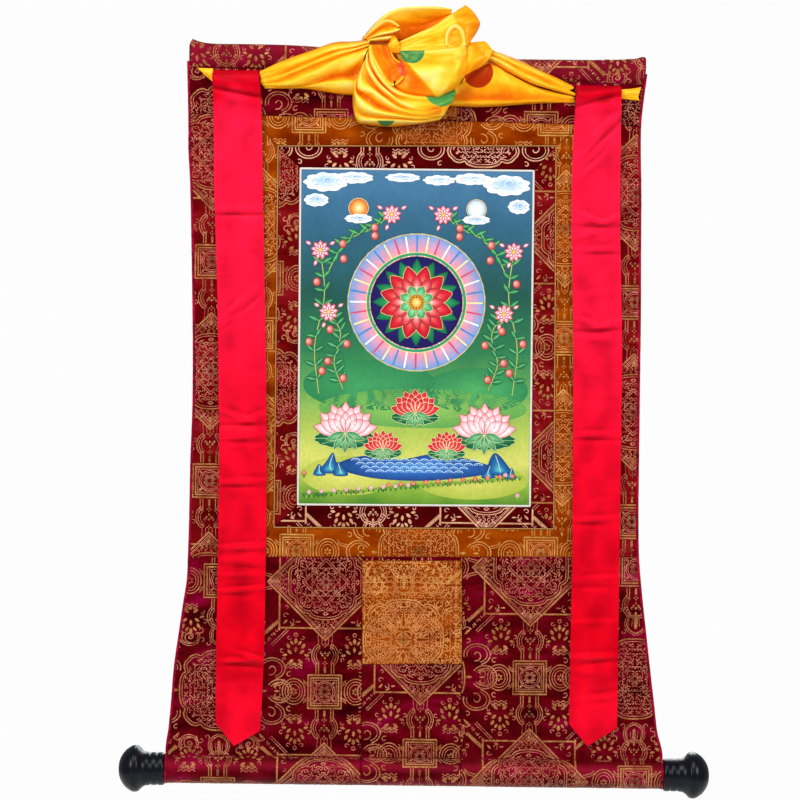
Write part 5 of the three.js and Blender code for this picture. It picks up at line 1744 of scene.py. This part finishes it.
def sky_lights(form):
    """The sun and the moon, each above a small cloud."""
    for x, colours in ((-78, ["#fff4c0", "#f7b04a", "#e0622a"]), (78, ["#ffffff", "#e8f0fa", "#b8cce8"])):
        fill(form, 3, lobed(x, -206, 12, 12, 2, 0), colours)
        line(form, 4, arc(x, -206, 13, 13, 0, 360), 0.9, "#f2d27c")
        cloud(form, 5, x, -220, 19, 6.5, SOFT_CLOUD)


def lotus_on_pad(form, x, z, size, colours, edge):
    pad = lobed(x, z - size * 0.12, size * 0.95, size * 0.3, 14, 0.07)
    fill(form, 8, pad, ["#59b46c", "#1c7a4c", "#0c5034"])
    line(form, 9, pad, 0.8, "#bfe08c")
    for k in range(10):
        angle = math.radians(36 * k)
        tip = (x + size * 0.88 * math.cos(angle), z - size * 0.12 + size * 0.27 * math.sin(angle))
        line(form, 9, curve((x, z - size * 0.12), tip), 0.6, "#9fd08a")
    lotus(form, 10, x, z, size, colours, edge)


def grass(form, start):
    for i in range(start, start + 30):
        x, z = -146 + 292 * ((i * 0.618) % 1), -564 - 28 * ((i * 0.381) % 1)
        for lean in (-0.5, 0, 0.5):
            blade = curve((x, z), (x + 2.5 * lean, z + 3), (x + 7 * lean, z + 6))
            line(form, 3, blade, 0.8, ("#2f7a2a", "#7fb43a", "#1f5f2c")[i % 3])
        if i % 4 == 0:
            petals = ("#ffffff", "#f6b0bc") if i % 8 else ("#ffd2a0", "#e8442c")
            blossom(form, 5, x, z + 7, 3.4, 5, petals, "#a02030", ["#ffe060", "#e0a020"])


PINK, CRIMSON = ["#ffffff", "#fbe6e6", "#f09aa0"], ["#ffb49c", "#ea3444", "#b30f28"]
PICTURE = [(hills,), (sky_lights,), (wheel, 2, 0, -330), (pond, 2), (grass, 0), (grass, 30), (grass, 60)]
PICTURE += [(cloud, 1, *values) for values in CLOUDS]
for side in (-1, 1):
    PICTURE += [
        (spray, 3, [(side * 128, -452), (side * 134, -390), (side * 122, -322), (side * 128, -262)], side),
        (spray, 4, [(side * 96, -446), (side * 108, -410), (side * 100, -372), (side * 116, -344)], side),
        (spray, 3, [(side * 118, -292), (side * 96, -252), (side * 58, -232), (side * 34, -214)], side),
        (lotus_on_pad, side * 92, -506, 44, PINK, "#c23a54"),
        (lotus_on_pad, side * 42, -526, 27, CRIMSON, "#ffe3b0"),
    ]
PICTURE.append((lotus_on_pad, 0, -478, 34, CRIMSON, "#ffe3b0"))


def painted_design():
    form = bmesh.new()
    for part, *values in PICTURE:
        shapes = bmesh.new()
        for layer in ("rise", "crest"):
            shapes.verts.layers.float.new(layer)
        shapes.verts.layers.float_color.new("paint")
        part(shapes, *values)
        mesh = bpy.data.meshes.new("part")
        shapes.to_mesh(mesh)
        shapes.free()
        form.from_mesh(mesh)
        bpy.data.meshes.remove(mesh)
    cut_and_lay(form, painting, lambda x, z: PAINT_MARGIN - painting.from_seam(x, z))
    return piece("painting_figure", form, PAINTED_CANVAS, "painted_canvas")


figures["painting"] = painted_design()


# Cords, bindings, ribbons, veil, roller and knobs


def tube(form, count, sides, place):
    """A closed skin from rings: place(share, angle) gives each point; its seam is merged."""
    made = grid(form, count, sides, lambda u, v: place(u, v * 2 * math.pi))
    bmesh.ops.remove_doubles(form, verts=made, dist=1e-4)


def frame_path(corners, step):
    """Points along a closed frame."""
    points = []
    for i in range(4):
        start, end = Vector(corners[i]), Vector(corners[(i + 1) % 4])
        count = max(1, round((end - start).length / step))
        points += [tuple(start.lerp(end, k / count)) for k in range(count)]
    return points


def twisted_cord(name, corners, diameter, step, strands, turn, material, slot, node, rise):
    """A cord of twisted strands laid round a frame; its painted light says where a strand stands out, with painted
    shade between the strands.
    """
    path = frame_path(inset(corners, diameter / 2), step)
    count = len(path)
    form = bmesh.new()
    crest = form.verts.layers.float.new("crest")
    for vert in bmesh.ops.create_grid(form, x_segments=count, y_segments=strands * 3, size=0.5)["verts"]:
        u, angle = vert.co.x + 0.5, (vert.co.y + 0.5) * 2 * math.pi
        i = round(u * count) % count
        x, z = path[i]
        ahead = (Vector(path[(i + 1) % count]) - Vector(path[i - 1])).normalized()
        lobe = math.cos(strands * (angle - 2 * math.pi * round(turn * count) * u))
        reach = diameter / 2 * (0.9 + 0.13 * lobe)
        side = reach * math.cos(angle)
        y = hang(x, z) - rise - reach * math.sin(angle)
        vert.co = Vector((x + ahead.y * side, y, z - ahead.x * side))
        vert[crest] = 0.5 + 0.5 * lobe
    bmesh.ops.remove_doubles(form, verts=form.verts, dist=1e-3)
    return piece(name, form, material, slot, [node])


twisted_cord(
    "piping_cord", PIPING_CORNERS, 3.0, 1.0, 3, 0.16, WHITE_CORD, "white_cord", "piping", 0.5
)
twisted_cord(
    "gold_piping_cord", gold_edge, 1.6, 1.4, 2, 0.3, GOLD_CORD, "gold_cord", "gold_piping", 0.7
)


RING_RADIUS = 17.8  # the middle of the tape round each end of the roll


def binding(side, column, out):
    """Red tape folded round a long edge, and the ring of it round the end of the roll."""
    form = bmesh.new()
    low, high = ROLL_TOP - 0.6, look_up(SLEEVE, 1, out * 300) + 8
    count = round((high - low) / 3)

    def round_edge(u, angle):
        z = lerp(low, high, u)
        middle = look_up(EDGE, column, z) + out * (BINDING / 2 - 0.1)
        pucker = 1 + 0.12 * noise.noise(Vector((out * 5, z / 7, angle)))
        x = middle + (BINDING / 2 + 0.3) * pucker * math.cos(angle)
        return Vector((x, hang(middle, z) + BINDING_DEPTH / 2 * pucker * math.sin(angle), z))

    tube(form, count, 12, round_edge)
    bmesh.ops.holes_fill(form, edges=form.edges, sides=14)
    near = look_up(EDGE, column, ROLLER_Z) + out * (BINDING / 2 + GAP)

    def ring(u, angle):
        turn = 2 * math.pi * u
        uneven = 0.15 * noise.noise(Vector((math.sin(turn) * 3, 0, math.cos(turn) * 3)))
        reach = RING_RADIUS + 1.5 * math.sin(angle) + uneven
        across = BINDING / 2 * math.cos(angle)
        return Vector((near + across, -reach * math.sin(turn), ROLLER_Z + reach * math.cos(turn)))

    tube(form, 72, 12, ring)
    bmesh.ops.recalc_face_normals(form, faces=form.faces)
    return piece(f"edge_binding_{side}_tape", form, RED_TAPE, "red_binding", [f"edge_binding_{side}"])


binding("left", 1, -1)
binding("right", 2, 1)


def ribbon(side, table, end, creases):
    """A satin ribbon sewn in under the sleeve, hanging clear of the cloth to its pointed end."""
    left_corner, tip, right_corner = end
    top, turn = table[-1][0], table[0][0]
    shoulder = (tip[0] - left_corner[0]) / (right_corner[0] - left_corner[0])
    length = top - tip[1]
    turn_share = (top - turn) / length
    near = 0.018  # no column runs closer than this beside the one to the point
    shares = sorted({0, shoulder, 1, *(i / 30 for i in range(31) if abs(i / 30 - shoulder) > near)})
    form = bmesh.new()
    crest = form.verts.layers.float.new("crest")

    def place(u, v):
        u, down = shares[round(u * (len(shares) - 1))], 1 - v
        if u <= shoulder:
            end_z = lerp(left_corner[1], tip[1], u / shoulder)
        else:
            end_z = lerp(tip[1], right_corner[1], (u - shoulder) / (1 - shoulder))
        if down <= turn_share:
            z = lerp(top, turn, down / turn_share)
        else:
            z = lerp(turn, end_z, (down - turn_share) / (1 - turn_share))
        x = lerp(look_up(table, 1, z), look_up(table, 2, z), u)
        if down > turn_share:
            x = lerp(x, lerp(left_corner[0], right_corner[0], u), (down - turn_share) / (1 - turn_share))
        stand = look_up(table, 3, z) + look_up(table, 4, z) * (2 * u - 1)
        stand += 2.0 * smoothstep(top - z, 4, 16) * folded(x, z, creases)
        stand += 0.25 * noise.noise(Vector((x / 9, 3, z / 30))) * smoothstep(top - z, 4, 16)
        return Vector((x, hang(x, z) - CLOTH / 2 - SATIN / 2 - max(stand, 0.4), z))

    for vert in grid(form, len(shares) - 1, round(length / 2), place):
        x, _, z = vert.co
        # Painted light of the creases: darker in a hollow, lighter on a ridge, with soft uneven patches
        bent = 2 * folded(x, z, creases) - folded(x, z + 5, creases) - folded(x, z - 5, creases)
        soft = noise.noise(Vector((x / 24, 9, z / 40))) + 0.3 * noise.noise(Vector((x / 12, 5, z / 9)))
        vert[crest] = min(max(0.52 + 0.18 * bent + 0.36 * soft, 0), 1)
    return piece(f"ribbon_{side}_satin", form, RED_SATIN, "red_satin", [f"ribbon_{side}"], SATIN)


ribbon_left = ribbon("left", RIBBON_LEFT, RIBBON_END_LEFT, CREASES_LEFT)
ribbon_right = ribbon("right", RIBBON_RIGHT, RIBBON_END_RIGHT, CREASES_RIGHT)

# The veil


def spot_on(part, x, z):
    """The colour of the woven spot at a point of the veil, and how much of it there is."""
    for spot_x, spot_z, radius, turn, cut, colour, parts in SPOTS:
        aside = (x - spot_x) * math.cos(math.radians(turn)) + (z - spot_z) * math.sin(math.radians(turn))
        inside = min(radius - math.hypot(x - spot_x, z - spot_z), cut - aside)
        if part in parts and inside > -6:
            return (*linear(colour)[:3], min(0.5 + inside / 12, 1))
    return (0, 0, 0, 0)


def face_shade(part, x, z):
    """How much lighter or darker a face of the veil is painted than the rest of its part: painted light and shade, and
    darker hems.
    """
    change = folded(x, z, SHADES.get(part, ()))
    for name, start, end, shade in FACES:
        if name == part:
            (a, b), reach = line_across(start, end)
            change += shade * smoothstep(reach - a * x - b * z, -1.5, 1.5)
    return change


def fold_sheet(form, part, tone, lines, rows=5, pitch=1.6):
    """A sheet of silk through lines along its folds; fine wrinkles run the way that they do."""
    crest, dye = form.verts.layers.float["crest"], form.verts.layers.float_color["dye"]
    reach = max(sum(math.dist(a[:2], b[:2]) for a, b in zip(line, line[1:])) for line in lines)
    last = len(lines) - 1
    relief = []
    for i, line in enumerate(lines):
        before, after = lines[max(i - 1, 0)], lines[min(i + 1, last)]
        relief.append([(d - (b[2] + a[2]) / 2,) for (_, _, d), b, a in zip(line, before, after)])
    seed = sum(map(ord, part))
    count = round(reach / pitch)
    columns = []
    for i in range(count + 1):
        columns.append([[along(row, i / count) for row in table] for table in (lines, relief)])
    for vert in bmesh.ops.create_grid(form, x_segments=count, y_segments=last * rows, size=0.5)["verts"]:
        u, v = vert.co.x + 0.5, vert.co.y + 0.5
        across, raised = columns[round(u * count)]
        x, z, d = along(across, v)
        high = along(raised, v)[0]
        edge = smoothstep(min(v, 1 - v) * last, 0, 0.7)
        wrinkle = noise.noise(Vector((u * reach / 26, v * last * 1.5, seed)))
        wrinkle += 0.5 * noise.noise(Vector((u * reach / 9, v * last * 2.6, seed + 9)))
        vert.co = Vector((x, -(d + 1.1 * wrinkle * edge), z))
        # Painted light: paler where a line stands out from the lines beside it, darker where it lies back, with the
        # part's painted shade, its faces and its wrinkles
        vert[crest] = min(max(0.52 + tone + face_shade(part, x, z) + high / 15 + 0.22 * wrinkle, 0), 1)
        vert[dye] = spot_on(part, x, z)


def veil_silk():
    form = bmesh.new()
    form.verts.layers.float.new("crest")
    form.verts.layers.float_color.new("dye")
    for part, (tone, lines) in VEIL.items():
        fold_sheet(form, part, tone, lines)
    bmesh.ops.recalc_face_normals(form, faces=form.faces)
    return piece("veil_silk", form, YELLOW_SILK, "yellow_silk", ["veil"], SILK)


veil = veil_silk()


def knob(side, start, out):
    """A turned knob: its outline spun round the roller's axis."""
    form = bmesh.new()
    ring = [form.verts.new((start + out * reach, 0, ROLLER_Z + radius)) for reach, radius in KNOB]
    edges = [form.edges.new(pair) for pair in zip(ring, ring[1:])]
    bmesh.ops.spin(
        form, geom=ring + edges, cent=(0, 0, ROLLER_Z), axis=(1, 0, 0), angle=2 * math.pi, steps=72,
        use_merge=True,
    )
    bmesh.ops.remove_doubles(form, verts=form.verts, dist=1e-3)
    bmesh.ops.recalc_face_normals(form, faces=form.faces)
    return piece(f"knob_{side}_lacquered", form, LACQUER, "black_lacquer", [f"knob_{side}"])


knob("left", ROD_LEFT - KNOB_GAP, -1)
knob("right", ROD_RIGHT + KNOB_GAP, 1)


def roller_rod():
    """The rod inside the roll, which shows only as its two end faces."""
    form = bmesh.new()
    middle = Matrix.Translation(((ROD_LEFT + ROD_RIGHT) / 2, 0, ROLLER_Z))
    bmesh.ops.create_cone(
        form, cap_ends=True, segments=64, radius1=ROD_RADIUS, radius2=ROD_RADIUS, depth=ROD_RIGHT - ROD_LEFT,
        matrix=middle @ Matrix.Rotation(math.pi / 2, 4, "Y"),
    )
    return piece("roller_rod", form, SOFTWOOD, "roller_wood", ["roller"], smooth=False)


roller_rod()


def studio_floor():
    """A plain pale floor under the scroll, which isn't part of it."""
    form = bmesh.new()
    bmesh.ops.create_grid(form, x_segments=1, y_segments=1, size=1.4)
    mesh = bpy.data.meshes.new("floor")
    form.to_mesh(mesh)
    form.free()
    mesh.materials.append(end_finish(start_finish("floor_matt_pale")[0], linear("#f4f4f4"), 0.9))
    floor = bpy.data.objects.new("floor", mesh)
    for vert in mesh.vertices:
        vert.co.z = FLOOR_Z
    bpy.context.scene.collection.objects.link(floor)
    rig.stage(floor)


studio_floor()

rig.sheet(veil, flat=(0.45, 0.15), held="gathered", rests_on=["heaven_panel_cloth"])
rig.sheet(ribbon_left, flat=(0.064, 0.9), held="hung", rests_on=["heaven_panel_cloth"])
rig.sheet(ribbon_right, flat=(0.064, 0.88), held="hung", rests_on=["heaven_panel_cloth"])
for name, (cloth_panel, cloth_object) in cloths.items():
    woven = [figures[name]] if name in figures else []
    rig.sheet(cloth_object, flat=cloth_panel.flat, held="hung", area=cloth_panel.area, with_pieces=woven)

json.dump(
    {"cad": [list(corner) for corner in cad_box], "visual": [list(corner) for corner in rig.bounds()]},
    open("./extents.json", "w"),
)
